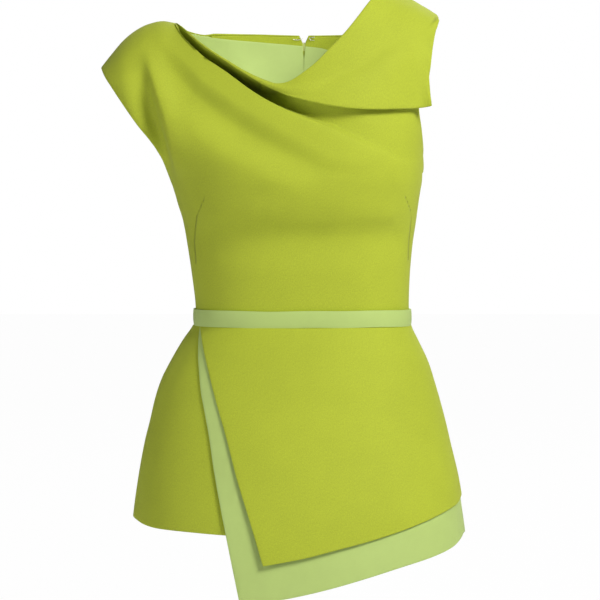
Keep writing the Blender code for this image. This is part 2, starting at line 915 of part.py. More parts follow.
def make_zip(metal, dyed, home, cutters):
    tape_offset = -1.5
    neck = BACK_NECKLINE.at(BACK_SEAM_X, "x", "height")
    heights = [-BELT_HALF_HEIGHT + (neck + BELT_HALF_HEIGHT) * v for v in back_rows()]
    heights = [h for h in heights if h < ZIP_TOP - 4.0] + [ZIP_TOP]
    heights = [ZIP_BOTTOM, -90.0, -70.0, -50.0, -30.0] + heights
    grid = []
    for height in heights:
        row = []
        for x in (-ZIP_HALF_WIDTH, 0.0, ZIP_HALF_WIDTH):
            if height >= -BELT_HALF_HEIGHT:
                point = bodice_point(BACK_SEAM_X + x, height, "back", tape_offset)
            else:
                waist = bodice_point(BACK_SEAM_X + x, -BELT_HALF_HEIGHT, "back", tape_offset)
                hip = peplum_base(180.0, height)
                first = peplum_base(180.0, -BELT_HALF_HEIGHT)
                share = min(1.0, (-BELT_HALF_HEIGHT - height) / 40.0)
                point = Vector((BACK_SEAM_X + x, 0.0, height))
                point.y = waist.y + hip.y - first.y + share * 2.6
            row.append(point)
        grid.append(row)
    cloth("zip_tape", grid, 1.0, dyed, home, flip=True)

    middle = bodice_point(BACK_SEAM_X, SLIDER_MIDDLE, "back", 0.0)
    down = back_tangent(PIN_HEIGHT)
    tilt = math.atan2(down.y, -down.z)
    turn = Matrix.Rotation(tilt, 4, "X")
    body = box("zip_slider", SLIDER_SIZE, metal, home)
    body.matrix_world = Matrix.Translation(
        world(BACK_SEAM_X, middle.y + 1.0, SLIDER_MIDDLE)) @ turn
    bevel = body.modifiers.new("Round", "BEVEL")
    bevel.width = 0.6 * MM
    bevel.segments = 1
    pin_point = bodice_point(BACK_SEAM_X, PIN_HEIGHT, "back", PIN_STANDOFF + 0.6)
    pin_place = world(BACK_SEAM_X, pin_point.y, PIN_HEIGHT)
    for way in (-1, 1):
        lug = box("lug", (LUG_WIDTH, 4.6, 2.6), metal, cutters)
        lug.matrix_world = Matrix.Translation(
            pin_place + turn @ Vector((way * LUG_X * MM, -1.0 * MM, 0.0))) @ turn
        hide_cutter(lug)
        combine(body, lug, "UNION")
    pin = rod("pin", PIN_RADIUS, 2 * LUG_X + 0.2, metal, cutters)
    pin.location = pin_place
    hide_cutter(pin)
    combine(body, pin, "UNION")

    tab = rod("pull_tab", EYE_RADIUS, 3.2, metal, home, sides=16)
    tab.location = pin_place
    tab.rotation_euler = (tilt, 0.0, 0.0)
    plate = box("plate", (TAB_WIDTH - 1.8, TAB_WALL, TAB_LENGTH - 1.0), metal, cutters)
    plate.matrix_world = Matrix.Translation(
        pin_place + turn @ Vector((0.0, 0.0, -TAB_LENGTH / 2 * MM))) @ turn
    hide_cutter(plate)
    combine(tab, plate, "UNION")
    paddle = rod("paddle", TAB_WIDTH / 2, TAB_WALL, metal, cutters, sides=20)
    stand = Matrix.Rotation(math.pi / 2, 4, "Z")
    paddle.matrix_world = Matrix.Translation(
        pin_place + turn @ Vector((0.0, 0.0, -(TAB_LENGTH - 2.0) * MM))) @ turn @ stand
    hide_cutter(paddle)
    combine(tab, paddle, "UNION")
    bore = rod("bore", EYE_BORE, 12.0, metal, cutters, sides=12)
    bore.location = pin_place
    hide_cutter(bore)
    combine(tab, bore, "DIFFERENCE")


def hide_cutter(cutter):
    cutter.hide_render = True
    cutter.display_type = "WIRE"


def make_hook_and_eye(metal, home):
    depth = -3.0 - SEAM_GAP - 1.2

    def spot(x, height):
        point = bodice_point(x, min(height, 341.0), "back", depth)
        return point.x, point.y, height

    hook = [(-10.5, 337.2), (-8.0, 336.6), (-5.0, 336.6), (-1.5, 336.8), (0.4, 337.6)]
    hook += [(0.6, 338.8), (-0.6, 339.4), (-2.6, 339.4)]
    wire("hook", [spot(x, h) for x, h in hook], 0.4, metal, home)
    eye = [(16.0, 339.6), (12.5, 339.4), (10.4, 338.6), (10.2, 337.2), (12.4, 336.4)]
    eye += [(16.0, 336.2)]
    wire("eye", [spot(x, h) for x, h in eye], 0.4, metal, home)


def build():
    clear_scene()
    home = bpy.data.collections.new("draped_peplum_top")
    cutters = bpy.data.collections.new("cutters")
    bpy.context.scene.collection.children.link(home)
    bpy.context.scene.collection.children.link(cutters)
    lime = material("lime_crepe", (0.47, 0.53, 0.06), 0.75)
    mint = material("mint_satin", (0.47, 0.62, 0.26), 0.5)
    metal = material("zip_metal", (0.55, 0.6, 0.25), 0.35, 0.6)
    wire_metal = material("hook_wire", (0.8, 0.8, 0.78), 0.35, 0.9)
    dyed = material("zip_tape", (0.42, 0.48, 0.08), 0.8)

    cloth("bodice_front", front_grid(), BODICE_WALL, lime, home)
    cloth("bodice_back_left", back_grid(-1), BODICE_WALL, lime, home, flip=True)
    cloth("bodice_back_right", back_grid(1), BODICE_WALL, lime, home)
    cloth("collar", collar_grid(28, len(COLLAR_ROWS) - 1), COLLAR_WALL, lime, home, flip=True)
    cloth("belt", belt_grid(), BELT_WALL, mint, home)

    overlay = front_panel_grid(OVERLAY_EDGE, OVERLAY_HEM, 89.9, 20, 12, overlay_lift)
    cloth("peplum_overlay", overlay, PEPLUM_WALL, lime, home, flip=True)
    underlay = front_panel_grid(UNDERLAY_EDGE, UNDERLAY_HEM, 89.9, 20, 12, underlay_lift)
    cloth("peplum_underlay", underlay, PEPLUM_WALL, mint, home, flip=True)
    side = front_panel_grid(LEFT_PANEL_EDGE, LEFT_PANEL_HEM, -89.9, 12, 10,
                            left_panel_lift, from_left=True)
    cloth("peplum_side_panel", side, PEPLUM_WALL, lime, home)
    cloth("peplum_back_left", back_peplum_grid(-1, 12, 9), PEPLUM_WALL, lime, home)
    cloth("peplum_back_right", back_peplum_grid(1, 12, 9), PEPLUM_WALL, lime, home, flip=True)

    def neck_top(x):
        return BACK_NECKLINE.at(x, "x", "height") - 0.6

    def seam_top(x):
        if x < -113.1:
            return neck_top(x)
        return min(neck_top(x), FACING_SEAM.at(x, "x", "height"))

    def lining_low(x):
        return LINING_BOTTOM

    def facing_low(x):
        return seam_top(x) + SEAM_GAP

    inner = -3.0
    cloth("back_facing_left", strip_grid(-1, facing_low, neck_top, -100.0, 8, 2, inner),
          LINING_WALL, lime, home, flip=True)
    cloth("back_facing_right", strip_grid(1, facing_low, neck_top, 72.0, 6, 2, inner),
          LINING_WALL, lime, home)
    cloth("back_lining_left", strip_grid(-1, lining_low, seam_top, -136.0, 10, 6, inner),
          LINING_WALL, mint, home, flip=True)
    cloth("back_lining_right", strip_grid(1, lining_low, seam_top, 86.0, 8, 6, inner),
          LINING_WALL, mint, home)
    make_zip(metal, dyed, home, cutters)
    make_hook_and_eye(wire_metal, home)


build()
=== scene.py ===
# %% [markdown]
# # A draped top with a peplum
#
# This lesson dresses a plain model of a sleeveless top. The real one is cut from a firm
# crepe: a front that is draped from one shoulder, a collar that folds over on the other,
# a narrow satin belt, and a peplum of three overlapping panels. The solids that carry the
# sizes are packed already. Here each piece of cloth is made again as a fine sheet, and
# gets its weave, its seams and its light.
#
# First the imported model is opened. Its objects are in metres, and stay where they are.

import math

import bpy
import numpy as np
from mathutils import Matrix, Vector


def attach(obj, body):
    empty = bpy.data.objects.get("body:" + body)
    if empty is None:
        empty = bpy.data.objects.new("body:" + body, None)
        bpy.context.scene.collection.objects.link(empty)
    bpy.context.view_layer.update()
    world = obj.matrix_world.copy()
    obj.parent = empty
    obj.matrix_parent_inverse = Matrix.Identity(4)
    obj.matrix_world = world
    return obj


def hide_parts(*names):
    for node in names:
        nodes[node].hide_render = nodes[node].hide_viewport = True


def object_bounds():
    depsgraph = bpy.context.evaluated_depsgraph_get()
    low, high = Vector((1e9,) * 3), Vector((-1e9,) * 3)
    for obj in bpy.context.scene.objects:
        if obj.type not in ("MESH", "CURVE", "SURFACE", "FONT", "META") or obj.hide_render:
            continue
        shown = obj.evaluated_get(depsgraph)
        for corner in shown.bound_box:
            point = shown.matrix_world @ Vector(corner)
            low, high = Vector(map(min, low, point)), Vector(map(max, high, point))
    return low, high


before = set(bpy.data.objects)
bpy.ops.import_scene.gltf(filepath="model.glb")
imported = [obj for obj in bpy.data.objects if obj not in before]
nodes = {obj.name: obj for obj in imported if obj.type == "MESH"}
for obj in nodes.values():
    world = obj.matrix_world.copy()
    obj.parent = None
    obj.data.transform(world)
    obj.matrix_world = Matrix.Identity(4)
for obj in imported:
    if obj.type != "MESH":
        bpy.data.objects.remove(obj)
cad_low, cad_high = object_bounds()
bpy.ops.object.select_all(action="DESELECT")
print("nodes:", len(nodes), "box:", [round(b - a, 3) for a, b in zip(cad_low, cad_high)])

# %% [markdown]
# ## Camera
#
# The picture was taken from far away, a little below the chest, so upright lines stay
# upright. A long lens at 3.2 m gives the same calm look. The picture is 720 mm tall in the
# plane of the side seams, and the belt's middle is 355 mm below the origin.

# %% Camera
SHOULDER_LEVEL = 355.0
CAMERA_AWAY = 3.2
VIEW_HEIGHT = 0.72
EYE_LEVEL = (122.0 - SHOULDER_LEVEL) / 1000
PICTURE_MIDDLE = (-0.0018, 0.0, (19.8 - SHOULDER_LEVEL) / 1000)

bpy.ops.object.camera_add(location=(PICTURE_MIDDLE[0], -CAMERA_AWAY, EYE_LEVEL))
camera = bpy.context.object
camera.name = "photo_camera"
drop = math.atan2(EYE_LEVEL - PICTURE_MIDDLE[2], CAMERA_AWAY)
camera.rotation_euler = (math.pi / 2 - drop, 0.0, 0.0)
camera.data.sensor_width = 36.0
camera.data.lens = 36.0 * CAMERA_AWAY / VIEW_HEIGHT
camera.data.clip_end = 60.0
bpy.context.scene.camera = camera
print("lens", round(camera.data.lens), "mm, looking down", round(math.degrees(drop), 2), "degrees")

# %% [markdown]
# ## Floor and light
#
# A garment is photographed in soft light, so that the weave and the folds show without
# hard shadows. A large key lamp stands high on the right, a weaker side lamp low on the
# left keeps that side readable, and a back lamp lights the rim. A fourth, very small one
# inside the neck only brightens the lining, and the camera can't see it. The room looks
# white to the camera and is dimmer as a lamp, as a lit paper background is.

# %% Floor and light
def soft_lamp(name, place, aim, size, power, colour=(1.0, 1.0, 1.0)):
    bpy.ops.object.light_add(type="AREA", location=place)
    lamp = bpy.context.object
    lamp.name = name
    lamp.data.shape = "DISK"
    lamp.data.size = size
    lamp.data.energy = power
    lamp.data.color = colour
    away = [a - b for a, b in zip(aim, place)]
    flat = math.hypot(away[0], away[1])
    lamp.rotation_euler = (math.atan2(flat, -away[2]), 0.0, math.atan2(away[1], away[0]) - math.pi / 2)
    return lamp


MIDDLE = (0.0, 0.0, -0.3)
soft_lamp("key_lamp", (1.6, -1.8, 1.65), MIDDLE, 1.2, 84.0, (1.0, 0.985, 0.96))
soft_lamp("side_lamp", (-2.5, -1.7, -0.4), MIDDLE, 1.4, 19.0)
soft_lamp("back_lamp", (0.8, 2.6, 1.6), MIDDLE, 1.8, 34.0)
card = soft_lamp("inner_card", (-0.03, -0.045, -0.075), (-0.03, 0.09, -0.055), 0.10, 0.085)
card.visible_camera = False

bpy.ops.mesh.primitive_plane_add(size=24.0, location=(0.0, 0.0, cad_low[2] - 0.12))
floor = bpy.context.object
floor.name = "floor"
paper = bpy.data.materials.new("pale_paper")
paper.use_nodes = True
tree = paper.node_tree
matt = tree.nodes["Principled BSDF"]
matt.inputs["Base Color"].default_value = (0.90, 0.90, 0.90, 1.0)
matt.inputs["Roughness"].default_value = 0.9
glow = tree.nodes.new("ShaderNodeEmission")
glow.inputs["Strength"].default_value = 1.0
path = tree.nodes.new("ShaderNodeLightPath")
share = tree.nodes.new("ShaderNodeMath")
share.operation = "MULTIPLY"
share.inputs[1].default_value = 0.98
both = tree.nodes.new("ShaderNodeMixShader")
tree.links.new(path.outputs["Is Camera Ray"], share.inputs[0])
tree.links.new(share.outputs[0], both.inputs["Fac"])
tree.links.new(matt.outputs[0], both.inputs[1])
tree.links.new(glow.outputs[0], both.inputs[2])
tree.links.new(both.outputs[0], tree.nodes["Material Output"].inputs["Surface"])
floor.data.materials.append(paper)

room = bpy.data.worlds.new("studio")
bpy.context.scene.world = room
room.use_nodes = True
tree = room.node_tree
tree.nodes.clear()
seen = tree.nodes.new("ShaderNodeBackground")
seen.inputs["Color"].default_value = (1.0, 1.0, 1.0, 1.0)
lit = tree.nodes.new("ShaderNodeBackground")
lit.inputs["Color"].default_value = (1.0, 1.0, 1.0, 1.0)
lit.inputs["Strength"].default_value = 0.14
path = tree.nodes.new("ShaderNodeLightPath")
mixed = tree.nodes.new("ShaderNodeMixShader")
out = tree.nodes.new("ShaderNodeOutputWorld")
tree.links.new(path.outputs["Is Camera Ray"], mixed.inputs["Fac"])
tree.links.new(lit.outputs[0], mixed.inputs[1])
tree.links.new(seen.outputs[0], mixed.inputs[2])
tree.links.new(mixed.outputs[0], out.inputs["Surface"])
bpy.context.scene.view_settings.view_transform = "Standard"

# %% [markdown]
# ## Sizes
#
# A tailor works from a few measured lines: the girth at some heights, the neckline, the
# hems. They are tables here, in millimetres, with heights counted up from the waist.
# `Table.at` reads a table between its rows along a curve that never overshoots them, for
# one value or for a whole array.

# %% Reading a table
MM = 0.001


def smooth_read(value, xs, ys):
    xs, ys = np.asarray(xs, float), np.asarray(ys, float)
    if xs[0] > xs[-1]:
        xs, ys = xs[::-1], ys[::-1]
    value = np.clip(value, xs[0], xs[-1])
    steps = np.diff(ys) / np.diff(xs)
    slopes = np.concatenate([steps[:1], np.zeros(len(xs) - 2), steps[-1:]])
    a, b = steps[:-1], steps[1:]
    same_way = a * b > 0
    slopes[1:-1][same_way] = (2 * a * b)[same_way] / (a + b)[same_way]
    i = np.clip(np.searchsorted(xs, value) - 1, 0, len(xs) - 2)
    width = xs[i + 1] - xs[i]
    t = (value - xs[i]) / width
    rise = ys[i] * (1 + 2 * t) * (1 - t) ** 2 + ys[i + 1] * t * t * (3 - 2 * t)
    lean = slopes[i] * t * (1 - t) ** 2 - slopes[i + 1] * t * t * (1 - t)
    return rise + lean * width


class Table:
    """Rows of sizes with named columns."""

    def __init__(self, columns, rows):
        self.names = columns.split()
        self.rows = rows

    def column(self, name):
        place = self.names.index(name)
        return np.array([row[place] for row in self.rows], float)

    def at(self, value, wanted):
        """Reads a column along the first one."""
        return smooth_read(value, self.column(self.names[0]), self.column(wanted))


def half_width(table, x, height):
    """Half width at a height, on the side that the sign of x names."""
    return np.where(x < 0, table.at(height, "left"), table.at(height, "right"))


def line_reader(table, names):
    """Reads a table as a smooth line by the share of its length, 0 to 1."""
    columns = [table.column(name) for name in names]
    steps = np.sqrt(sum(np.diff(c) ** 2 for c in columns))
    places = np.concatenate([[0.0], np.cumsum(steps)])
    return lambda share: [smooth_read(np.asarray(share) * places[-1], places, c) for c in columns]


# %% [markdown]
# The bodice is described by its half width to each side and its depth to the front and
# the back. The bust is fullest about 165 mm above the waist, and from there the cloth
# rolls back towards the shoulder line.

# %% Sizes of the bodice
WALL = 2.0
BODICE_WALL = 1.5
INNER_WALL = 0.9
SEAM_GAP = 0.3
ZIP_GAP = 0.35
SEAM_OVERLAP = 0.04
BELT_HALF = 9.5
BUST_START = 165.0
SECTION_POWER = 2.4
BACK_SEAM_X = 3.0
CAP_CORNER_X, NECK_LEFT_X = -237.6, -149.4
STRAP_IN_X, STRAP_OUT_X = 98.0, 161.0
UNDERARM = {"left": 163.8, "right": 180.0}
ARM_START = 0.52

BODICE = Table("height left right front back", [
    (-9.5, 124.5, 126.8, 93, 80), (12.6, 125.0, 126.8, 95, 82), (45.0, 128.6, 127.8, 98, 86),
    (84.0, 134.4, 131.0, 103, 91), (116.0, 140.2, 135.6, 112, 96), (134.0, 145.8, 138.0, 121, 99),
    (150.0, 150.4, 140.4, 128, 102), (164.0, 155.6, 142.6, 132, 104), (180.0, 171.4, 143.2, 133, 105),
    (191.0, 185.0, 143.6, 132, 106), (211.0, 206.6, 144.4, 129, 107), (230.0, 226.0, 145.0, 125, 107),
    (250.0, 243.0, 146.0, 120, 107), (277.0, 268.0, 150.0, 115, 106), (300.0, 285.0, 160.0, 109, 103),
    (330.0, 300.0, 178.0, 100, 98), (360.0, 315.0, 205.0, 90, 92), (400.0, 330.0, 240.0, 76, 84),
])
SHOULDER = Table("x front back", [
    (-237.6, 297.6, 297.6), (-224.0, 314.6, 314.6), (-210.7, 330.0, 330.0), (-197.0, 341.0, 341.0),
    (-183.0, 348.2, 348.2), (-166.0, 351.8, 351.8), (-149.4, 349.5, 349.5), (-116.0, 362.0, 380.0),
    (-88.0, 382.0, 400.0), (-60.0, 410.0, 420.0), (-30.0, 450.0, 435.0), (0.0, 480.0, 440.0),
    (30.0, 478.0, 438.0), (60.0, 452.0, 425.0), (82.0, 418.0, 405.0), (98.0, 389.7, 389.7),
    (130.0, 370.2, 370.2), (161.0, 350.2, 350.2),
])
NECKLINE = Table("x height", [
    (-149.4, 349.5), (-132.0, 335.0), (-115.6, 320.2), (-88.1, 301.5), (-61.0, 284.7), (-41.0, 275.7),
    (-25.0, 271.4), (-12.0, 273.0), (-5.0, 277.5), (15.0, 291.6), (35.1, 313.0), (51.9, 330.5), (69.1, 353.0),
    (84.0, 373.6), (98.0, 389.7),
])
BACK_NECKLINE = Table("x height", [
    (-149.4, 349.5), (-137.0, 345.2), (-117.0, 342.0), (-60.0, 342.0), (3.0, 340.9), (55.0, 341.4),
    (76.0, 348.4), (90.0, 367.0), (98.0, 389.7),
])
CAP_EDGE = Table("x height", [
    (-155.6, 163.8), (-158.4, 171.9), (-161.6, 180.0), (-167.0, 190.0), (-178.0, 209.4), (-191.0, 227.7),
    (-204.6, 246.7), (-221.6, 271.5), (-230.6, 284.5), (-237.6, 297.6),
])
ARMHOLE_EDGE = Table("x height", [
    (144.6, 180.0), (144.0, 192.0), (140.5, 221.0), (136.5, 251.0), (136.5, 285.0), (144.0, 322.0),
    (161.0, 350.2),
])
SLIT = Table("height half_width", [
    (316.0, 0.3), (321.0, 1.8), (331.0, 2.0), (336.5, 4.2), (342.4, 6.8),
])
print("waist girth about", round(2 * math.pi * math.sqrt((126 ** 2 + 88 ** 2) / 2) * 1.02), "mm")

# %% [markdown]
# ## The draped front
#
# The front is one big piece. Its cloth is pulled from the left shoulder to the right side,
# and where the pull is strongest it folds under itself just below the neckline. That fold
# has a lip: the cloth comes up from the bust, turns over it in a soft turn of 5 to 9 mm
# and runs straight back. The hollow's depth, up to 46 mm, isn't measured: it was chosen to
# make the hollow dark enough. The lip is a line in the mesh itself, with rows of faces
# along it on both sides. The softer folds are only troughs and ridges, each with a line, a
# depth and a reach.

# %% Folds of the front
# depth: how far the cloth runs in behind the lip. swell: how far the lip stands out.
# turn: width of the turn. reach: how far above the lip the hollow fades out.
LIP = Table("x height depth swell turn reach", [
    (-153.0, 350.2, 0.0, 0.0, 5.0, 40.0), (-148.0, 342.4, 8.0, 0.0, 6.0, 40.0),
    (-140.6, 332.2, 24.0, 0.0, 7.0, 50.0), (-129.0, 319.8, 38.0, 0.0, 7.5, 55.0),
    (-115.2, 306.4, 42.0, 0.0, 7.5, 60.0), (-87.8, 287.2, 46.0, 0.0, 7.5, 60.0),
    (-60.9, 266.8, 46.0, 0.5, 7.5, 60.0), (-41.1, 253.8, 34.0, 1.0, 8.0, 46.0),
    (-21.0, 242.8, 20.0, 1.5, 9.0, 36.0), (5.5, 231.0, 12.0, 2.0, 9.0, 32.0),
    (32.0, 221.0, 8.0, 2.0, 8.0, 32.0), (51.9, 210.9, 5.5, 2.0, 8.0, 30.0), (85.0, 194.7, 3.4, 1.5, 8.0, 26.0),
    (115.0, 181.6, 2.5, 1.0, 8.0, 22.0), (143.9, 172.0, 0.0, 0.0, 9.0, 20.0),
])
FOLDS = {
    "long trough": Table("x height depth above below", [
        (-181.0, 330.0, 0.0, 12.0, 20.0), (-160.0, 303.0, 4.5, 16.0, 28.0), (-126.0, 262.0, 7.5, 22.0, 38.0),
        (-92.0, 235.0, 8.5, 24.0, 40.0), (-61.0, 214.0, 8.5, 25.0, 40.0), (-25.0, 194.0, 7.5, 25.0, 38.0),
        (12.0, 176.0, 5.0, 24.0, 36.0), (50.0, 166.0, 2.0, 20.0, 28.0), (84.0, 156.0, 0.0, 18.0, 24.0),
    ]),
    "underarm crease": Table("x height depth above below", [
        (-190.0, 318.0, 0.0, 10.0, 20.0), (-187.0, 300.0, 3.0, 9.0, 26.0), (-182.0, 280.0, 8.0, 9.0, 30.0),
        (-176.5, 258.0, 13.0, 9.0, 30.0), (-171.0, 240.0, 17.0, 9.0, 28.0), (-166.5, 225.0, 20.0, 9.0, 26.0),
        (-160.5, 200.0, 20.0, 9.0, 20.0), (-155.0, 180.0, 11.0, 9.0, 14.0), (-150.0, 160.0, 0.0, 9.0, 10.0),
    ]),
    "chest ridge": Table("x height depth above below", [
        (-186.0, 312.0, 0.0, 26.0, 8.0), (-179.0, 290.0, -1.5, 26.0, 8.0), (-170.0, 262.0, -3.0, 26.0, 8.0),
        (-160.0, 232.0, -3.5, 26.0, 8.0), (-152.0, 205.0, -3.0, 26.0, 8.0), (-148.0, 184.0, -1.0, 24.0, 8.0),
        (-146.0, 168.0, 0.0, 24.0, 8.0),
    ]),
    "edge of the bust": Table("x height depth above below", [
        (-132.0, 128.0, 0.0, 24.0, 14.0), (-108.0, 123.0, -2.6, 30.0, 16.0), (0.0, 121.0, -2.2, 30.0, 16.0),
        (105.0, 123.0, -2.2, 26.0, 14.0), (132.0, 128.0, 0.0, 20.0, 12.0),
    ]),
    "under the bust": Table("x height depth above below", [
        (-134.0, 100.0, 0.0, 18.0, 24.0), (-108.0, 95.0, 4.5, 22.0, 40.0), (-60.0, 93.0, 3.6, 22.0, 44.0),
        (60.0, 94.0, 3.4, 22.0, 42.0), (108.0, 97.0, 3.4, 20.0, 36.0), (132.0, 102.0, 0.0, 14.0, 24.0),
    ]),
}


def along_line(x, height, line):
    """Distance from a line of (x, height) rows, which side of it, and the row there."""
    xs, hs = line[:, 0], line[:, 1]
    best = np.full(np.shape(x), np.inf)
    side = np.zeros(np.shape(x))
    row = np.zeros(np.shape(x))
    for i in range(len(xs) - 1):
        dx, dh = xs[i + 1] - xs[i], hs[i + 1] - hs[i]
        t = np.clip(((x - xs[i]) * dx + (height - hs[i]) * dh) / (dx * dx + dh * dh), 0, 1)
        ox, oh = x - xs[i] - dx * t, height - hs[i] - dh * t
        far = np.hypot(ox, oh)
        nearer = far < best
        best = np.where(nearer, far, best)
        side = np.where(nearer, np.sign(dx * oh - dh * ox), side)
        row = np.where(nearer, i + t, row)
    return best, side, row


def soft_folds(x, height):
    total = np.zeros(np.shape(x))
    for fold in FOLDS.values():
        line = np.stack([fold.column("x"), fold.column("height")], axis=1)
        far, side, row = along_line(x, height, line)
        count = np.arange(len(line))
        reach = np.where(side > 0, np.interp(row, count, fold.column("above")),
                         np.interp(row, count, fold.column("below")))
        depth = np.interp(row, count, fold.column("depth"))
        share = np.clip(far / reach, 0, 1)
        total += depth * 0.5 * (1.0 + np.cos(math.pi * share))
    return total


def ease(t):
    t = np.clip(t, 0.0, 1.0)
    return t * t * (3.0 - 2.0 * t)


LIP_READ = line_reader(LIP, ["x", "height"])
NECK_READ = line_reader(NECKLINE, ["x", "height"])
LIP_LINE = np.stack(LIP_READ(np.linspace(0, 1, 160)), axis=1)
NECK_LINE = np.stack(NECK_READ(np.linspace(0, 1, 120)), axis=1)


def lip_fold(x, height):
    """How far in the cloth lies because of the fold under the neckline."""
    far, side, row = along_line(x, height, LIP_LINE)
    at_x = np.interp(row, np.arange(len(LIP_LINE)), LIP_LINE[:, 0])
    depth, swell, turn, reach = (LIP.at(at_x, name) for name in ("depth", "swell", "turn", "reach"))
    depth = depth * ease((SHOULDER.at(x, "front") - height) / 9.0)
    above = np.where(side > 0, far, 0.0)
    below = np.where(side > 0, 0.0, far)
    over = ease(above / turn)
    fade = 0.5 + 0.5 * np.cos(math.pi * np.clip((above - turn) / reach, 0, 1))
    to_edge = along_line(x, height, NECK_LINE)[0]
    edge = ease((to_edge - 0.4) / 2.2)
    out = swell * (0.5 + 0.5 * np.cos(math.pi * np.clip((below - 2.0) / 26.0, 0, 1)))
    return depth * over * fade * edge - out * (1.0 - over)


# %% [markdown]
# ## From sizes to points
#
# Each height of the bodice is a rounded section between a circle and a box. A point of the
# front is found from its x and its height, moved in by the folds and out by the thickness
# of the cloth along the direction that the smooth form faces.

# %% Points of the bodice
def section_side(share, power):
    return np.maximum(0.0, 1.0 - np.minimum(1.0, np.abs(share)) ** power) ** (1.0 / power)


def bodice_depth(x, height, side):
    half = half_width(BODICE, x, height)
    top = SHOULDER.at(x, side)
    share = np.clip((height - BUST_START) / (top - BUST_START), 0.0, 1.0)
    rolled = np.sqrt(1.0 - share ** 3)
    return BODICE.at(height, side) * section_side(x / half, SECTION_POWER) * rolled


def bodice_normal(x, height, side):
    edge = half_width(BODICE, x, height)
    x = np.clip(x, -edge + 2.5, edge - 2.5)
    slope_x = (bodice_depth(x + 1, height, side) - bodice_depth(x - 1, height, side)) / 2
    slope_h = (bodice_depth(x, height + 1, side) - bodice_depth(x, height - 1, side)) / 2
    way = -1.0 if side == "front" else 1.0
    normal = np.stack([-slope_x, np.full(np.shape(x), way), -slope_h], axis=-1)
    return normal / np.linalg.norm(normal, axis=-1, keepdims=True)


def bodice_point(x, height, side, out=0.0):
    """Point of the bodice, moved out from the inner face. At a seam it only moves sideways."""
    x, height = np.broadcast_arrays(np.asarray(x, float), np.asarray(height, float))
    way = -1.0 if side == "front" else 1.0
    depth = bodice_depth(x, height, side)
    point = np.stack([x, way * (depth + SEAM_OVERLAP), height], axis=-1)
    normal = bodice_normal(x, height, side)
    normal[..., 1] *= ease(depth / 8.0)
    return point + normal * np.asarray(out)[..., None]


def front_point(x, height, out=0.0):
    """The folds run straight back and down, so that they never move the outline."""
    straight = bodice_normal(x, height, "front") * [0.0, 1.0, 1.0]
    straight /= np.linalg.norm(straight, axis=-1, keepdims=True)
    folded = (soft_folds(x, height) + lip_fold(x, height)) * ease(bodice_depth(x, height, "front") / 16.0)
    return bodice_point(x, height, "front", out) - straight * folded[..., None]


def patch(bottom, top, left, right, us, vs):
    """Grid of (x, height) between four edges that meet at their ends."""
    u, v = us[None, :, None], vs[:, None, None]
    w = 0.5 - 0.5 * np.cos(math.pi * u)
    b, t = (np.stack(edge(us), axis=-1)[None] for edge in (bottom, top))
    l, r = (np.stack(edge(vs), axis=-1)[:, None] for edge in (left, right))
    corners = (1 - v) * ((1 - w) * b[:, :1] + w * b[:, -1:]) + v * ((1 - w) * t[:, :1] + w * t[:, -1:])
    return (1 - v) * b + v * t + (1 - w) * l + w * r - corners


def waist_x(angle):
    s = np.sin(np.radians(angle))
    half = half_width(BODICE, s, -BELT_HALF)
    return np.copysign(half * np.abs(s) ** (2.0 / SECTION_POWER), s)


def back_waist_x(way, share):
    """x along the back of the waist, from the zip (share 0) to the side (share 1)."""
    start = BACK_SEAM_X + way * ZIP_GAP
    side = way * float(half_width(BODICE, way, -BELT_HALF))
    return start + (side - start) * np.sin(np.radians(90.0 * share)) ** (2 / SECTION_POWER)


# %% [markdown]
# ## A sheet of cloth
#
# Every piece below goes through one helper. It takes a net of points, gives the cloth its
# thickness, and turns the free edges over in a small round, the way a pressed edge is
# round and never a knife. Edges that are sewn to a neighbour stay flat. The helper also
# lays a flat map over the piece in metres of cloth, so that the weave runs with it, and
# stores how far each point is from the nearest sewn line.

# %% The cloth helper
SEWN_ROUND, FREE_ROUND = 0.16, 0.9
FAR_FROM_SEAM = 99.0


class Net:
    """Points of a sheet, its faces, its flat map and the distance to its sewn lines."""

    def __init__(self, grid, seam=None, turned=False):
        rows, columns = grid.shape[:2]
        self.grid = grid
        self.points = grid.reshape(-1, 3)
        index = np.arange(rows * columns).reshape(rows, columns)
        quads = np.stack([index[:-1, :-1], index[:-1, 1:], index[1:, 1:], index[1:, :-1]], axis=-1)
        self.faces = quads.reshape(-1, 4)
        if turned:
            self.faces = self.faces[:, ::-1]
        across = np.linalg.norm(np.diff(grid, axis=1), axis=2)
        up = np.linalg.norm(np.diff(grid, axis=0), axis=2)
        u = np.concatenate([np.zeros((rows, 1)), np.cumsum(across, axis=1)], axis=1)
        v = np.concatenate([np.zeros((1, columns)), np.cumsum(up, axis=0)], axis=0)
        u = u - u[:, columns // 2][:, None]
        self.flat = np.stack([u, v], axis=-1).reshape(-1, 2)
        self.size = (float(across.sum(1).max()), float(up.sum(0).max()))
        self.seam = np.full(len(self.points), FAR_FROM_SEAM) if seam is None else seam.reshape(-1)


def net_normals(points, faces):
    a, b, c, d = (points[faces[:, k]] for k in range(4))
    face = np.cross(c - a, d - b)
    normals = np.zeros_like(points)
    for k in range(4):
        np.add.at(normals, faces[:, k], face)
    length = np.linalg.norm(normals, axis=1, keepdims=True)
    return normals / np.maximum(length, 1e-9)


def free_edge(points):
    """1 where an edge is free, 0 where it is sewn to a neighbour."""
    x, y, height = points.T
    sewn = (np.abs(y) < 0.8) | ((np.abs(x - BACK_SEAM_X) < 0.8) & (y > 0)) | (np.abs(height) < 11.0)
    return np.where(sewn, 0.0, 1.0)


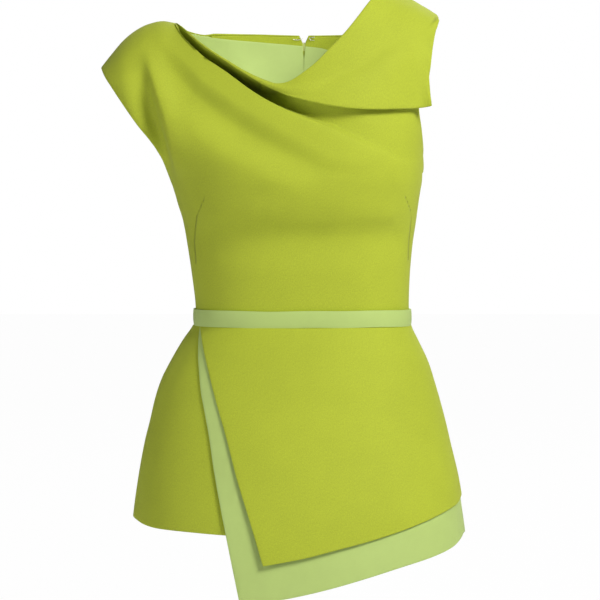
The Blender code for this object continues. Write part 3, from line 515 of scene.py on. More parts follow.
def cloth(name, net, wall, look, node, inward=False):
    points, faces = net.points, net.faces
    normals = net_normals(points, faces)
    wall = np.broadcast_to(wall, len(points)).astype(float)
    away = points + normals * (-wall if inward else wall)[:, None]
    outer, inner = (points, away) if inward else (away, points)
    count = len(points)
    edges = {}
    for face in faces:
        for k in range(4):
            edges[(face[k], face[(k + 1) % 4])] = True
    rim = [(a, b) for a, b in edges if (b, a) not in edges]
    rim_points = sorted({a for a, b in rim} | {b for a, b in rim})
    number = {p: i for i, p in enumerate(rim_points)}
    push = np.zeros((len(rim_points), 3))
    for a, b in rim:
        side = np.cross(points[b] - points[a], normals[a] + normals[b])
        side = side / max(np.linalg.norm(side), 1e-9)
        push[number[a]] += side
        push[number[b]] += side
    push /= np.maximum(np.linalg.norm(push, axis=1, keepdims=True), 1e-9)
    r = np.array(rim_points)
    bulge = (wall[r] / 2 * (SEWN_ROUND + FREE_ROUND * free_edge(points[r])))[:, None]
    middle, half = (outer[r] + inner[r]) / 2, (outer[r] - inner[r]) / 2
    loops = [middle + half * math.cos(a) + push * bulge * math.sin(a)
             for a in (math.pi / 4, math.pi / 2, 3 * math.pi / 4)]
    verts = np.concatenate([outer, inner] + loops)
    sides = [r] + [2 * count + k * len(r) + np.arange(len(r)) for k in range(3)] + [r + count]
    all_faces = faces.tolist() + (faces[:, ::-1] + count).tolist()
    for a, b in rim:
        i, j = number[a], number[b]
        for k in range(4):
            all_faces.append([sides[k][j], sides[k][i], sides[k + 1][i], sides[k + 1][j]])
    source = np.concatenate([np.arange(count), np.arange(count), r, r, r])
    places = (verts - [0.0, 0.0, SHOULDER_LEVEL]) * MM
    mesh = bpy.data.meshes.new(name)
    mesh.from_pydata(places.tolist(), [], [[int(p) for p in face] for face in all_faces])
    corner = np.zeros(len(mesh.loops), np.int32)
    mesh.loops.foreach_get("vertex_index", corner)
    flat_map = mesh.uv_layers.new(name="cloth_map")
    flat_map.data.foreach_set("uv", (net.flat[source[corner]] * MM).astype(np.float32).ravel())
    sewn = mesh.attributes.new("seam_mm", "FLOAT", "POINT")
    sewn.data.foreach_set("value", net.seam[source].astype(np.float32))
    piece = bpy.data.objects.new(name, mesh)
    bpy.context.scene.collection.objects.link(piece)
    bpy.ops.object.select_all(action="DESELECT")
    piece.select_set(True)
    bpy.context.view_layer.objects.active = piece
    bpy.ops.object.mode_set(mode="EDIT")
    bpy.ops.mesh.select_all(action="SELECT")
    bpy.ops.mesh.remove_doubles(threshold=0.00002)
    bpy.ops.object.mode_set(mode="OBJECT")
    bpy.ops.object.shade_smooth_by_angle(angle=math.radians(52))
    piece.select_set(False)
    mesh.materials.append(look)
    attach(piece, "garment")
    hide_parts(node)


# %% [markdown]
# ## Crepe, satin, tape and metal
#
# The main cloth is a firm wool-like crepe. Its yarns are twisted so hard that the surface
# is covered in tiny pebbles, and it scatters light with hardly any gloss, except for a
# pale bloom where it turns away from us. The contrast cloth is a satin, with a finer grain
# that runs one way and a soft shine. Both get their grain from noise, read on the flat map
# so that it follows the piece. A sewn line is a narrow groove, drawn from the stored
# distance, and its colour is darkened there as painted shade.

# %% Material helpers
def start_material(name, slot, roughness):
    made = bpy.data.materials.new(name)
    made.use_nodes = True
    made["slot"] = slot
    shader = made.node_tree.nodes["Principled BSDF"]
    shader.inputs["Roughness"].default_value = roughness
    return made, made.node_tree, shader


def add_node(tree, kind, **values):
    node = tree.nodes.new(kind)
    for name, value in values.items():
        spot = name.replace("_", " ")
        if spot in node.inputs:
            node.inputs[spot].default_value = value
        else:
            setattr(node, name, value)
    return node


def noise(tree, vector, scale, detail=2.0, rough=0.5):
    made = add_node(tree, "ShaderNodeTexNoise", Scale=scale, Detail=detail, Roughness=rough)
    tree.links.new(vector, made.inputs["Vector"])
    return made.outputs["Fac"]


def stretched(tree, vector, scale):
    made = add_node(tree, "ShaderNodeMapping")
    made.inputs["Scale"].default_value = scale
    tree.links.new(vector, made.inputs["Vector"])
    return made.outputs["Vector"]


def ranged(tree, value, low, high, to_low, to_high):
    made = tree.nodes.new("ShaderNodeMapRange")
    made.interpolation_type = "SMOOTHSTEP"
    for spot, number in zip(("From Min", "From Max", "To Min", "To Max"), (low, high, to_low, to_high)):
        made.inputs[spot].default_value = number
    tree.links.new(value, made.inputs["Value"])
    return made.outputs["Result"]


def math_of(tree, operation, a, b):
    made = tree.nodes.new("ShaderNodeMath")
    made.operation = operation
    for spot, value in zip(made.inputs, (a, b)):
        if isinstance(value, (int, float)):
            spot.default_value = value
        else:
            tree.links.new(value, spot)
    return made.outputs[0]


def bumped(tree, height, strength, distance, normal=None):
    made = add_node(tree, "ShaderNodeBump", Strength=strength, Distance=distance)
    tree.links.new(height, made.inputs["Height"])
    if normal is not None:
        tree.links.new(normal, made.inputs["Normal"])
    return made.outputs["Normal"]


def shaded(tree, colour, factor):
    """A colour made lighter or darker by a number that changes over the cloth."""
    made = tree.nodes.new("ShaderNodeVectorMath")
    made.operation = "SCALE"
    made.inputs[0].default_value = colour
    tree.links.new(factor, made.inputs["Scale"])
    return made.outputs["Vector"]


# %% Crepe and satin
def cloth_material(name, slot, colour, roughness, grain, grain_size, stripe, sheen):
    made, tree, shader = start_material(name, slot, roughness)
    flat_map = add_node(tree, "ShaderNodeUVMap", uv_map="cloth_map").outputs["UV"]
    place = tree.nodes.new("ShaderNodeTexCoord").outputs["Object"]
    fine = 1000.0 / grain_size
    pebbles = noise(tree, stretched(tree, flat_map, (fine, fine, 1.0)), 1.0, 3.0, 0.62)
    yarns = noise(tree, stretched(tree, flat_map, stripe), 1.0, 2.0, 0.5)
    patches = noise(tree, place, 9.0, 3.0, 0.55)
    bloom = noise(tree, place, 60.0, 4.0, 0.6)
    tone = ranged(tree, patches, 0.3, 0.7, 0.97, 1.03)
    for layer, share in ((pebbles, grain), (yarns, grain / 2), (bloom, 0.012)):
        tone = math_of(tree, "ADD", tone, ranged(tree, layer, 0.3, 0.7, -share, share))
    seam = add_node(tree, "ShaderNodeAttribute", attribute_name="seam_mm").outputs["Fac"]
    groove = ranged(tree, seam, 0.0, 1.2, 0.0, 1.0)
    # Painted shade: along each sewn line the colour is darkened to 0.66 of itself, where the groove would lie in
    # shade.
    tone = math_of(tree, "MULTIPLY", tone, ranged(tree, seam, 0.2, 1.3, 0.66, 1.0))
    tree.links.new(shaded(tree, colour, tone), shader.inputs["Base Color"])
    tree.links.new(ranged(tree, pebbles, 0.3, 0.7, roughness - 0.05, roughness + 0.05), shader.inputs["Roughness"])
    normal = bumped(tree, groove, 0.9, 0.0009)
    normal = bumped(tree, pebbles, 0.45, 0.00030, normal)
    normal = bumped(tree, yarns, 0.16, 0.00014, normal)
    tree.links.new(bumped(tree, patches, 0.08, 0.0022, normal), shader.inputs["Normal"])
    weight, spread, tint = sheen
    shader.inputs["Sheen Weight"].default_value = weight
    shader.inputs["Sheen Roughness"].default_value = spread
    shader.inputs["Sheen Tint"].default_value = (*tint, 1.0)
    shader.inputs["Specular IOR Level"].default_value = 0.32
    return made


CREPE = cloth_material("lime_crepe_cloth", "lime_crepe", (0.440, 0.514, 0.034), 0.78, 0.095, 1.3,
                       (1400.0, 300.0, 1.0), (0.10, 0.40, (0.95, 1.0, 0.60)))
SATIN = cloth_material("mint_satin_cloth", "mint_satin", (0.486, 0.634, 0.190), 0.52, 0.022, 0.5,
                       (180.0, 2600.0, 1.0), (0.08, 0.35, (0.95, 1.0, 0.85)))
# Painted light: the lining is the same satin with a lighter colour, so that it looks more brightly lit inside the
# neck.
LINING_PAINTED_LIGHTER = cloth_material("mint_satin_lining_painted_lighter", "mint_satin", (0.520, 0.665, 0.215), 0.50, 0.02, 0.5,
                        (180.0, 2600.0, 1.0), (0.08, 0.35, (0.95, 1.0, 0.85)))
print("cloths:", CREPE.name, SATIN.name, LINING_PAINTED_LIGHTER.name)

# %% [markdown]
# ## Making the front
#
# The net of the front is two patches that share the lip. The lower one runs from the waist
# up to the shoulder and the lip, the upper one from the lip to the neckline and the other
# shoulder. The darts are sewn lines from the waist to the bust. Only their upper part,
# from about 60 mm above the waist, is marked here.

# %% Front of the bodice
CAP_READ = line_reader(CAP_EDGE, ["x", "height"])
ARMHOLE_READ = line_reader(Table("x height", [(143.9, 172.0)] + ARMHOLE_EDGE.rows), ["x", "height"])
DARTS = [
    np.array([(-123.0, 62.0), (-125.0, 92.3), (-121.4, 121.8), (-111.2, 143.9)]),
    np.array([(124.6, 68.5), (125.2, 88.7), (127.3, 115.9), (127.0, 126.5), (119.1, 145.3)]),
]
SHOULDER_COLUMNS = 26
LIP_COLUMNS = 120


def seam_distance(x, height, lines):
    return np.min([along_line(x, height, line)[0] for line in lines], axis=0)


def make_front():
    count = SHOULDER_COLUMNS + LIP_COLUMNS
    start = SHOULDER_COLUMNS / count

    def bottom(u):
        return waist_x(-90.0 + 180.0 * u), np.full(len(u), -BELT_HALF)

    def top(u):
        x = CAP_CORNER_X + 84.6 * np.clip(u / start, 0, 1) ** 1.2
        lip_x, lip_height = LIP_READ(np.clip((u - start) / (1 - start), 0, 1))
        on_lip = u > start
        return np.where(on_lip, lip_x, x), np.where(on_lip, lip_height, SHOULDER.at(x, "front"))

    def left(v):
        height = -BELT_HALF + (UNDERARM["left"] + BELT_HALF) * np.clip(v / ARM_START, 0, 1)
        cap_x, cap_height = CAP_READ(np.clip((v - ARM_START) / (1 - ARM_START), 0, 1))
        low = v <= ARM_START
        return np.where(low, -BODICE.at(height, "left"), cap_x), np.where(low, height, cap_height)

    def right(v):
        height = -BELT_HALF + (172.0 + BELT_HALF) * v
        return BODICE.at(height, "right"), height

    us = np.arange(count + 1) / count
    t = np.arange(111) / 110
    lower = patch(bottom, top, left, right, us, t + 0.7 * (t - t * t))

    def upper_top(u):
        share = np.interp(u, [0.0, 0.42, 0.8, 1.0], [0.0, 0.46, 1.0, 1.0])
        neck_x, neck_height = NECK_READ(share)
        x = STRAP_IN_X + (STRAP_OUT_X - STRAP_IN_X) * np.clip((u - 0.8) / 0.2, 0, 1)
        past = u > 0.8
        return np.where(past, x, neck_x), np.where(past, SHOULDER.at(x, "front"), neck_height)

    def upper_left(v):
        x = -153.0 + 3.6 * v
        return x, SHOULDER.at(x, "front")

    us = np.arange(LIP_COLUMNS + 1) / LIP_COLUMNS
    t = np.arange(1, 53) / 52
    upper = patch(LIP_READ, upper_top, upper_left, ARMHOLE_READ, us,
                  np.concatenate([[0.0], 0.35 * t + 0.65 * t * t]))[1:]

    blank = np.full((len(upper), SHOULDER_COLUMNS, 2), np.nan)
    whole = np.concatenate([lower, np.concatenate([blank, upper], axis=1)])
    x, height = whole[..., 0], whole[..., 1]
    safe_x, safe_height = np.nan_to_num(x, nan=0.0), np.nan_to_num(height, nan=100.0)
    points = front_point(safe_x, safe_height, WALL)
    # A line 1.5 mm off the left neckline gets a groove and a painted dark line, as painted shade at the edge's
    # turn.
    neck_groove_and_shade = np.abs(along_line(safe_x, safe_height, NECK_LINE[NECK_LINE[:, 0] < -45.0])[0] - 1.5)
    net = Net(points, np.minimum(seam_distance(safe_x, safe_height, DARTS), neck_groove_and_shade))
    missing = np.isnan(x).reshape(-1)
    kept = ~missing[net.faces].any(axis=1)
    net.faces = net.faces[kept]
    renumber = np.cumsum(~missing) - 1
    net.faces = renumber[net.faces]
    net.points, net.flat, net.seam = net.points[~missing], net.flat[~missing], net.seam[~missing]
    # Given, not measured: with two patches no row of the net is as long as the cut.
    net.size = (440.0, 430.0)
    return net


cloth("front_cloth", make_front(), BODICE_WALL, CREPE, "bodice_front",
      inward=True)

# %% [markdown]
# ## The back
#
# The back is cut in two halves that meet at the zip. It is smooth: a dart on each side
# takes in the waist, and a short slit stays open above the zip's slider.

# %% Back of the bodice
BACK_DARTS = [np.array([(way * 62.0 + 2, -9.0), (way * 62.0 + 2, 40.0), (way * 66.0 + 2, 128.0)])
              for way in (-1, 1)]


def slit_x(way, height):
    return BACK_SEAM_X + way * SLIT.at(height, "half_width")


def make_back(way):
    top_height = float(BACK_NECKLINE.at(BACK_SEAM_X, "height"))
    corner_x, neck_x = (CAP_CORNER_X, NECK_LEFT_X) if way < 0 else (STRAP_OUT_X, STRAP_IN_X)
    arm_read = CAP_READ if way < 0 else line_reader(ARMHOLE_EDGE, ["x", "height"])
    side_name = "left" if way < 0 else "right"
    side_top = UNDERARM[side_name]

    def bottom(u):
        return back_waist_x(way, 1 - u), np.full(len(u), -BELT_HALF)

    def top(u):
        x = corner_x + (neck_x - corner_x) * np.clip(u / 0.5, 0, 1) ** 1.3
        share = np.clip((u - 0.5) / 0.5, 0, 1) ** 0.85
        neck = neck_x + (slit_x(way, top_height) - neck_x) * share
        past = u > 0.5
        tucked = 2.0 * ease((neck - NECK_LEFT_X) / 8.0) * ease((-104.0 - neck) / 14.0)
        return (np.where(past, neck, x),
                np.where(past, BACK_NECKLINE.at(neck, "height") - tucked, SHOULDER.at(x, "front")))

    def side(v):
        height = -BELT_HALF + (side_top + BELT_HALF) * np.clip(v / ARM_START, 0, 1)
        arm_x, arm_height = arm_read(np.clip((v - ARM_START) / (1 - ARM_START), 0, 1))
        low = v <= ARM_START
        return np.where(low, way * BODICE.at(height, side_name), arm_x), np.where(low, height, arm_height)

    def centre(v):
        height = -BELT_HALF + (top_height + BELT_HALF) * v
        return slit_x(way, height), height

    t = np.arange(101) / 100
    flat = patch(bottom, top, side, centre, np.arange(61) / 60, t + 0.35 * (t - t * t))
    x, height = flat[..., 0], flat[..., 1]
    drag = 1.2 * np.exp(-((height - 250 - 0.25 * np.abs(x)) / 22) ** 2) * ease((np.abs(x) - 30) / 90)
    drag += 0.8 * np.exp(-((height - 30 - 0.12 * np.abs(x)) / 9) ** 2) * ease((np.abs(x) - 10) / 60)
    points = bodice_point(x, height, "back", WALL - drag * ease((360 - height) / 60))
    return Net(points, seam_distance(x, height, BACK_DARTS), turned=way < 0)


for way, word in ((-1, "left"), (1, "right")):
    cloth(f"back_{word}_cloth", make_back(way), BODICE_WALL, CREPE, f"bodice_back_{word}",
          inward=True)

# %% [markdown]
# ## The folded collar
#
# The collar starts as a narrow band along the left of the neckline and widens into a flap
# that folds over the right shoulder. Its lower edge is the fold itself. It hangs in front
# of the armhole and stands a little off the bodice, so it casts a soft shadow there.

# %% Collar
COLLAR_WALL = 2.8
COLLAR_EDGE = Table("x height lift", [
    (-146.5, 345.0, 0.6), (-130.0, 330.6, 0.8), (-113.6, 316.2, 1.0), (-86.2, 297.8, 1.2), (-62.6, 282.2, 1.5),
    (-50.0, 274.8, 1.5), (-35.6, 267.6, 1.0), (-14.4, 258.8, 1.2), (1.7, 254.5, 2.4), (28.1, 248.6, 5.0),
    (54.7, 244.7, 7.0), (74.6, 243.7, 7.0), (108.6, 245.3, 6.5), (133.0, 247.8, 6.0),
])
COLLAR_CORNER = Table("x y height", [
    (98.4, -1.0, 394.8), (130.0, -1.0, 376.9), (158.0, -1.5, 359.6), (161.2, -10.0, 354.8),
    (154.6, -34.0, 339.0), (149.6, -52.0, 319.0), (147.4, -62.0, 294.0), (149.6, -68.0, 262.0),
    (151.6, -69.0, 250.5),
])


def keep_outside(point, gap):
    """Moves a point of the collar out until it clears the front."""
    armhole = ARMHOLE_EDGE.column("height"), ARMHOLE_EDGE.column("x")
    for _ in range(3):
        x = np.minimum(point[..., 0], smooth_read(point[..., 2], *armhole) + 2.0)
        height = np.minimum(point[..., 2], SHOULDER.at(x, "front") - 0.8)
        face = bodice_point(x, height, "front", gap)
        normal = bodice_normal(x, height, "front")
        here = np.stack([x, point[..., 1], point[..., 2]], axis=-1)
        inside = ((face - here) * normal).sum(-1)
        point = point + normal * np.maximum(inside, 0.0)[..., None]
    return point


def make_collar():
    edge_read = line_reader(COLLAR_EDGE, ["x", "height", "lift"])
    end_read = line_reader(COLLAR_CORNER, ["x", "y", "height"])
    first_gap = WALL + 1.2

    def end(v):
        return np.stack(end_read(v), axis=-1)

    def roll_line(u):
        x, height = NECK_READ(u)
        point = bodice_point(x, height, "front", first_gap)
        point[..., 2] += 1.2 - 3.2 * ease((0.56 - u) / 0.14)
        return point

    def lower_edge(u):
        x, height, lift = edge_read(np.minimum(1.0, u / 0.93))
        point = bodice_point(x, height, "front", first_gap + 0.4)
        point[..., 1] -= lift
        share = np.clip((u - 0.93) / 0.07, 0, 1)[..., None]
        return point * (1 - share) + end(np.ones(1)) * share

    u = 0.03 + 0.97 * np.arange(141) / 140
    v = np.interp(np.arange(43) / 42, [0, 0.15, 0.5, 0.85, 1], [0, 0.09, 0.42, 0.86, 1])
    top_line, low_line = roll_line(u), lower_edge(u)
    shift = end(np.zeros(1)) - roll_line(np.ones(1))
    V, U = v[:, None, None], u[None, :, None]
    point = (top_line + shift * u[:, None] ** 6)[None] * (1 - V) + low_line[None] * V
    bend = end(v) - (end(np.zeros(1)) * (1 - v[:, None]) + end(np.ones(1)) * v[:, None])
    point = point + bend[:, None] * U ** 4
    width = np.linalg.norm(top_line - low_line, axis=1)[None]
    belly = np.minimum(2.6, 0.03 * width) + 3.6 * np.exp(-((U[..., 0] - 0.50) / 0.13) ** 2)
    spare = 0.7 + 1.0 * U[..., 0] ** 6 + belly * np.sin(math.pi * V[..., 0] ** 1.2)
    start = ease((U[..., 0] - 0.03) / 0.09)
    point = point * start[..., None] + top_line[None] * (1 - start[..., None])
    sunk = bodice_point(top_line[:, 0], top_line[:, 2], "front", WALL - 1.6)[None]
    point = keep_outside(point, (first_gap + spare) * start)
    point = point * start[..., None] + sunk * (1 - start[..., None])
    for _ in range(30):
        middle = (point[:, :-2] + point[:, 2:]) / 2
        point[:, 1:-1] += 0.5 * (middle - point[:, 1:-1])
    net = Net(point, turned=True)
    net.size = (350.0, 205.0)
    net.wall = np.broadcast_to(COLLAR_WALL - 1.4 * ease((0.60 - u) / 0.2), point.shape[:2]).reshape(-1)
    return net


collar_net = make_collar()
# The 5 mm turned in all round is a guess. Without it the area is 0.298 of 350 x 205.
cloth("collar_cloth", collar_net, collar_net.wall, CREPE, "collar")

# %% [markdown]
# ## The belt
#
# The belt is a narrow band of satin over the waist seam. A band that is turned in on both
# edges is a little fuller in the middle, so the net swells there by less than a millimetre.

# %% Belt
def make_belt():
    front_angles = np.linspace(-90.0, 90.0, 103)
    back_left, back_right = (back_waist_x(way, np.linspace(0.0, 1.0, 49)) for way in (-1, 1))
    xs = np.concatenate([back_left[:-1], waist_x(front_angles), back_right[::-1][1:]])
    at_back = np.concatenate([np.ones(48, bool), np.zeros(103, bool), np.ones(48, bool)])
    edge = half_width(BODICE, xs, -BELT_HALF)
    share = np.minimum(1.0, np.abs(xs) / edge)
    s, c = share ** (SECTION_POWER / 2), section_side(share, SECTION_POWER) ** (SECTION_POWER / 2)
    rows = []
    for k in np.linspace(-1.0, 1.0, 13):
        height = BELT_HALF * k
        gap = WALL + 0.4 + 0.7 * (1 - k * k)
        half = half_width(BODICE, xs, height) + gap
        depth = np.where(at_back, BODICE.at(height, "back"), BODICE.at(height, "front")) + gap
        x = np.copysign(half * s ** (2 / SECTION_POWER), xs)
        y = depth * c ** (2 / SECTION_POWER) * np.where(at_back, 1.0, -1.0)
        wave = 0.35 * np.sin(xs / 31.0) + 0.25 * np.sin(xs / 13.0 + 1.0)
        x[0], x[-1] = BACK_SEAM_X - 0.4, BACK_SEAM_X + 0.4
        rows.append(np.stack([x, y, height + wave], axis=-1))
    return Net(np.array(rows))


cloth("belt_cloth", make_belt(), 2.2, SATIN, "belt")

# %% [markdown]
# ## The peplum
#
# Below the belt hang three front panels: a crepe panel at the wearer's right side, a satin
# one over it, and a crepe one on top, cut away in a slant so that the satin shows along it.
# Two more panels close the back. Each hangs from the waist and flares by its cut, so it
# stays smooth, with the free edges standing a few millimetres off the layer below.

# %% Sizes of the peplum
PEPLUM_WALL = 1.2
LAYER_STEP = 2.0
PEPLUM_TOP = -10.4
PEPLUM_POWER = 2.3
PANEL_OUT = 5.1
SIDE_ANGLE = 89.985
PEPLUM = Table("height left right front back", [
    (-9.5, 124.5, 126.4, 93, 80), (-14.0, 126.5, 127.6, 94, 82), (-29.9, 137.6, 135.2, 98, 88),
    (-56.9, 153.4, 147.8, 104, 97), (-77.6, 163.7, 154.4, 110, 104), (-97.3, 170.3, 160.2, 114, 110),
    (-126.6, 177.2, 168.0, 121, 117), (-151.0, 183.3, 173.7, 127, 124), (-196.0, 191.4, 184.2, 139, 136),
    (-236.0, 196.9, 190.4, 148, 142), (-300.0, 203.0, 199.0, 156, 148), (-350.0, 207.0, 204.0, 161, 152),
])
OVERLAY_EDGE = Table("height x", [
    (-9.5, -121.4), (-25.7, -118.6), (-48.7, -113.2), (-90.3, -101.8), (-138.5, -87.2), (-182.7, -74.9),
    (-243.9, -54.9), (-280.5, -43.7),
])
OVERLAY_HEM = Table("x height", [
    (-43.7, -280.5), (5.4, -271.1), (37.6, -263.0), (77.2, -253.4), (110.5, -244.4), (144.5, -233.9),
    (172.8, -224.1), (184.2, -219.6), (192.0, -212.0),
])
UNDERLAY_EDGE = Table("height x", [
    (-9.5, -122.6), (-25.9, -123.8), (-43.3, -123.6), (-60.7, -122.2), (-83.8, -119.5), (-106.9, -114.8),
    (-135.6, -108.9), (-174.1, -102.5), (-246.0, -87.7), (-324.3, -70.7),
])
UNDERLAY_HEM = Table("x height", [
    (-70.6, -325.5), (-21.1, -318.0), (5.1, -312.8), (37.5, -305.2), (77.0, -294.8), (116.9, -284.2),
    (158.1, -274.4), (179.7, -267.6), (190.0, -261.0), (195.0, -256.0),
])
LEFT_PANEL_EDGE = Table("height x", [
    (-9.5, -70.0), (-100.0, -68.0), (-250.0, -44.0),
])
LEFT_PANEL_HEM = Table("x height", [
    (-201.0, -239.0), (-190.0, -242.6), (-174.0, -244.2), (-140.0, -244.8), (-88.0, -246.6), (-40.0, -248.0),
])
BACK_HEM = Table("x height", [
    (-201.0, -236.0), (-120.0, -241.0), (0.0, -240.0), (120.0, -227.0), (192.0, -212.0),
])


# %% Points of the peplum
def peplum_base(angle, height):
    """Innermost layer at an angle from the front: -90 left, 90 right, 180 back."""
    angle, height = np.broadcast_arrays(np.asarray(angle, float), np.asarray(height, float))
    s, c = np.sin(np.radians(angle)), np.cos(np.radians(angle))
    half = half_width(PEPLUM, s, height)
    depth = np.where(c >= 0, PEPLUM.at(height, "front"), PEPLUM.at(height, "back"))
    x = np.copysign(half * np.abs(s) ** (2 / PEPLUM_POWER), s)
    y = -np.copysign(depth * np.abs(c) ** (2 / PEPLUM_POWER), c)
    return np.stack([x, y, height], axis=-1)


def peplum_point(angle, height, lift, top_row):
    across = peplum_base(angle + 2.0, height) - peplum_base(angle - 2.0, height)
    up = peplum_base(angle, height + 3.0) - peplum_base(angle, height - 3.0)
    normal = np.cross(across, up)
    normal /= np.linalg.norm(normal, axis=-1, keepdims=True)
    base = peplum_base(angle, height)
    normal[..., 1] *= ease(np.abs(base[..., 1]) / 8.0)
    point = base + normal * np.asarray(lift)[..., None]
    point[..., 2] = np.where(top_row, PEPLUM_TOP, point[..., 2])
    return point


def angle_for(x, height):
    half = half_width(PEPLUM, x, height) + PANEL_OUT
    share = np.minimum(1.0, np.abs(x) / half)
    return np.copysign(np.degrees(np.arcsin(share ** (PEPLUM_POWER / 2))), x)


def front_panel(edge, hem, end_angle, columns, rows, lift_at, from_left=False):
    a = np.arange(columns + 1) / columns
    hem_height = np.full(len(a), hem.rows[-1 if from_left else 0][1], float)
    for _ in range(14):
        start = angle_for(edge.at(hem_height, "x"), hem_height)
        angle = start + (end_angle - start) * a
        x = peplum_base(angle, hem_height)[..., 0] + PANEL_OUT * np.sin(np.radians(angle))
        hem_height = 0.5 * hem_height + 0.5 * hem.at(x, "height")
    v = ((np.arange(rows + 1) / rows) ** 1.1)[:, None]
    height = PEPLUM_TOP + (hem_height[None] - PEPLUM_TOP) * v
    start = angle_for(edge.at(height, "x"), height)
    angle = start + (end_angle - start) * a[None]
    return peplum_point(angle, height, lift_at(a[None], v, angle), np.broadcast_to(v == 0, height.shape))


def overlay_lift(a, v, angle):
    wave = 0.9 * v * np.sin(angle / 17.0) + 0.5 * v * v * np.sin(angle / 7.0 + 1.0)
    return 2 * LAYER_STEP + 7.0 * v * v * np.exp(-a * 4.0) + wave * (1 - a) * ease(a * 4)


def underlay_lift(a, v, angle):
    return LAYER_STEP + 4.5 * v * v * np.exp(-a * 5.0)


def side_panel_lift(a, v, angle):
    return 2 * LAYER_STEP * ease((np.abs(angle) - 66.0) / 24.0) + 0 * v


def back_panel(way, columns, rows):
    a = np.arange(columns + 1) / columns
    height = np.full(len(a), -236.0)
    for _ in range(8):
        edge = np.degrees(0.4 / PEPLUM.at(height, "back"))
        shift = way * BACK_SEAM_X / PEPLUM.at(height, "right")
        last = 180.0 - edge - np.degrees(shift)
        angle = way * (90.0 + (last - 90.0) * a)
        height = BACK_HEM.at(peplum_base(angle, height)[..., 0], "height")
    v = (np.arange(rows + 1) / rows)[:, None]
    height = PEPLUM_TOP + (height[None] - PEPLUM_TOP) * v
    wave = 1.6 * v * np.sin(angle[None] / 9.0) * np.sin(math.pi * a)[None]
    point = peplum_point(np.broadcast_to(angle, height.shape), height, 2 * LAYER_STEP + wave,
                         np.broadcast_to(v == 0, height.shape))
    point[:, 0, 1] = SEAM_OVERLAP
    point[:, -1, 0] = BACK_SEAM_X + way * 0.03
    return point


# %% Panels of the peplum
side_panel = front_panel(LEFT_PANEL_EDGE, LEFT_PANEL_HEM, -SIDE_ANGLE, 48, 60, side_panel_lift, from_left=True)
cloth("side_panel_cloth", Net(side_panel), PEPLUM_WALL, CREPE, "peplum_side_panel")
underlay = front_panel(UNDERLAY_EDGE, UNDERLAY_HEM, SIDE_ANGLE, 90, 80, underlay_lift)
cloth("underlay_cloth", Net(underlay, turned=True), PEPLUM_WALL, SATIN, "peplum_underlay")
overlay = front_panel(OVERLAY_EDGE, OVERLAY_HEM, SIDE_ANGLE, 90, 80, overlay_lift)
cloth("overlay_cloth", Net(overlay, turned=True), PEPLUM_WALL, CREPE, "peplum_overlay")
for way, word in ((-1, "left"), (1, "right")):
    cloth(f"back_peplum_{word}_cloth", Net(back_panel(way, 56, 56), turned=way > 0), PEPLUM_WALL, CREPE,
          f"peplum_back_{word}")

# %% [markdown]
# ## Inside the back neck
#
# The inside of the back shows above the front's neckline. A strip of crepe faces the neck
# edge, and below it hangs the satin lining.

# %% Facing and lining
FACING_SEAM = Table("x height", [
    (-113.1, 340.4), (-90.0, 337.4), (-51.3, 334.4), (-5.6, 330.6), (22.9, 327.6), (45.0, 322.0), (70.0, 321.0),
])
LINING_BOTTOM = 246.0


def neck_top(x):
    return BACK_NECKLINE.at(x, "height") - 0.6


def seam_top(x):
    return np.where(x < -113.1, neck_top(x), np.minimum(neck_top(x), FACING_SEAM.at(x, "height")))


def strip(way, low, high, x_from, columns, rows, ripple):
    v = (np.arange(rows + 1) / rows)[:, None]
    x = x_from + (BACK_SEAM_X - x_from) * np.arange(columns + 1)[None] / columns
    share = np.arange(columns + 1)[None] / columns
    height = low(x) + (high(x) - low(x)) * v
    x = x_from + (slit_x(way, height) - x_from) * share
    height = low(x) + (high(x) - low(x)) * v
    near_shoulder = np.clip((-95.0 - x) / 40.0, 0, 1)
    ripples = 0.5 + 0.5 * np.sin(x / 11.0 + height / 37.0)
    soft = ripple * ripples * np.sin(math.pi * np.clip(v, 0, 1)) * (1 - share ** 6)
    return bodice_point(x, height, "back", -2.0 - 4.0 * near_shoulder - soft)


for way, word, facing_from, lining_from in ((-1, "left", -111.0, -140.0), (1, "right", 72.0, 86.0)):
    facing = strip(way, lambda x: seam_top(x) + SEAM_GAP, neck_top, facing_from, 44, 8, 0.0)
    cloth(f"facing_{word}_cloth", Net(facing, turned=way < 0), INNER_WALL, CREPE, f"back_facing_{word}",
          inward=True)
    lining = strip(way, lambda x: LINING_BOTTOM + 0 * x, seam_top, lining_from, 56, 44, 1.2)
    cloth(f"lining_{word}_cloth", Net(lining, turned=way < 0), INNER_WALL, LINING_PAINTED_LIGHTER, f"back_lining_{word}",
          inward=True)

# %% [markdown]
# ## Zip, hook and eye
#
# The zip is an invisible one: its tape is sewn behind the two back edges, and only the
# slider and the end of its pull tab show in the slit. The tape is a woven sheet with a
# coil of fine loops down its middle. One loop is modelled from a ring and copied.

# %% Zip tape
def metal_material(name, slot, colour, metallic, roughness):
    made, tree, shader = start_material(name, slot, roughness)
    place = tree.nodes.new("ShaderNodeTexCoord").outputs["Object"]
    worn = noise(tree, place, 900.0, 4.0, 0.6)
    tree.links.new(ranged(tree, worn, 0.3, 0.7, roughness - 0.08, roughness + 0.1), shader.inputs["Roughness"])
    tree.links.new(shaded(tree, colour, ranged(tree, worn, 0.3, 0.7, 0.9, 1.08)), shader.inputs["Base Color"])
    tree.links.new(bumped(tree, worn, 0.1, 0.00005), shader.inputs["Normal"])
    shader.inputs["Metallic"].default_value = metallic
    return made


TAPE = cloth_material("woven_zip_tape", "zip_tape", (0.38, 0.45, 0.07), 0.78, 0.06, 0.4, (900.0, 1800.0, 1.0),
                      (0.1, 0.4, (1.0, 1.0, 0.9)))
ENAMEL = metal_material("enamelled_zip_metal", "zip_metal", (0.50, 0.56, 0.16), 0.45, 0.36)
STEEL = metal_material("bright_hook_wire", "hook_wire", (0.80, 0.80, 0.76), 0.9, 0.30)


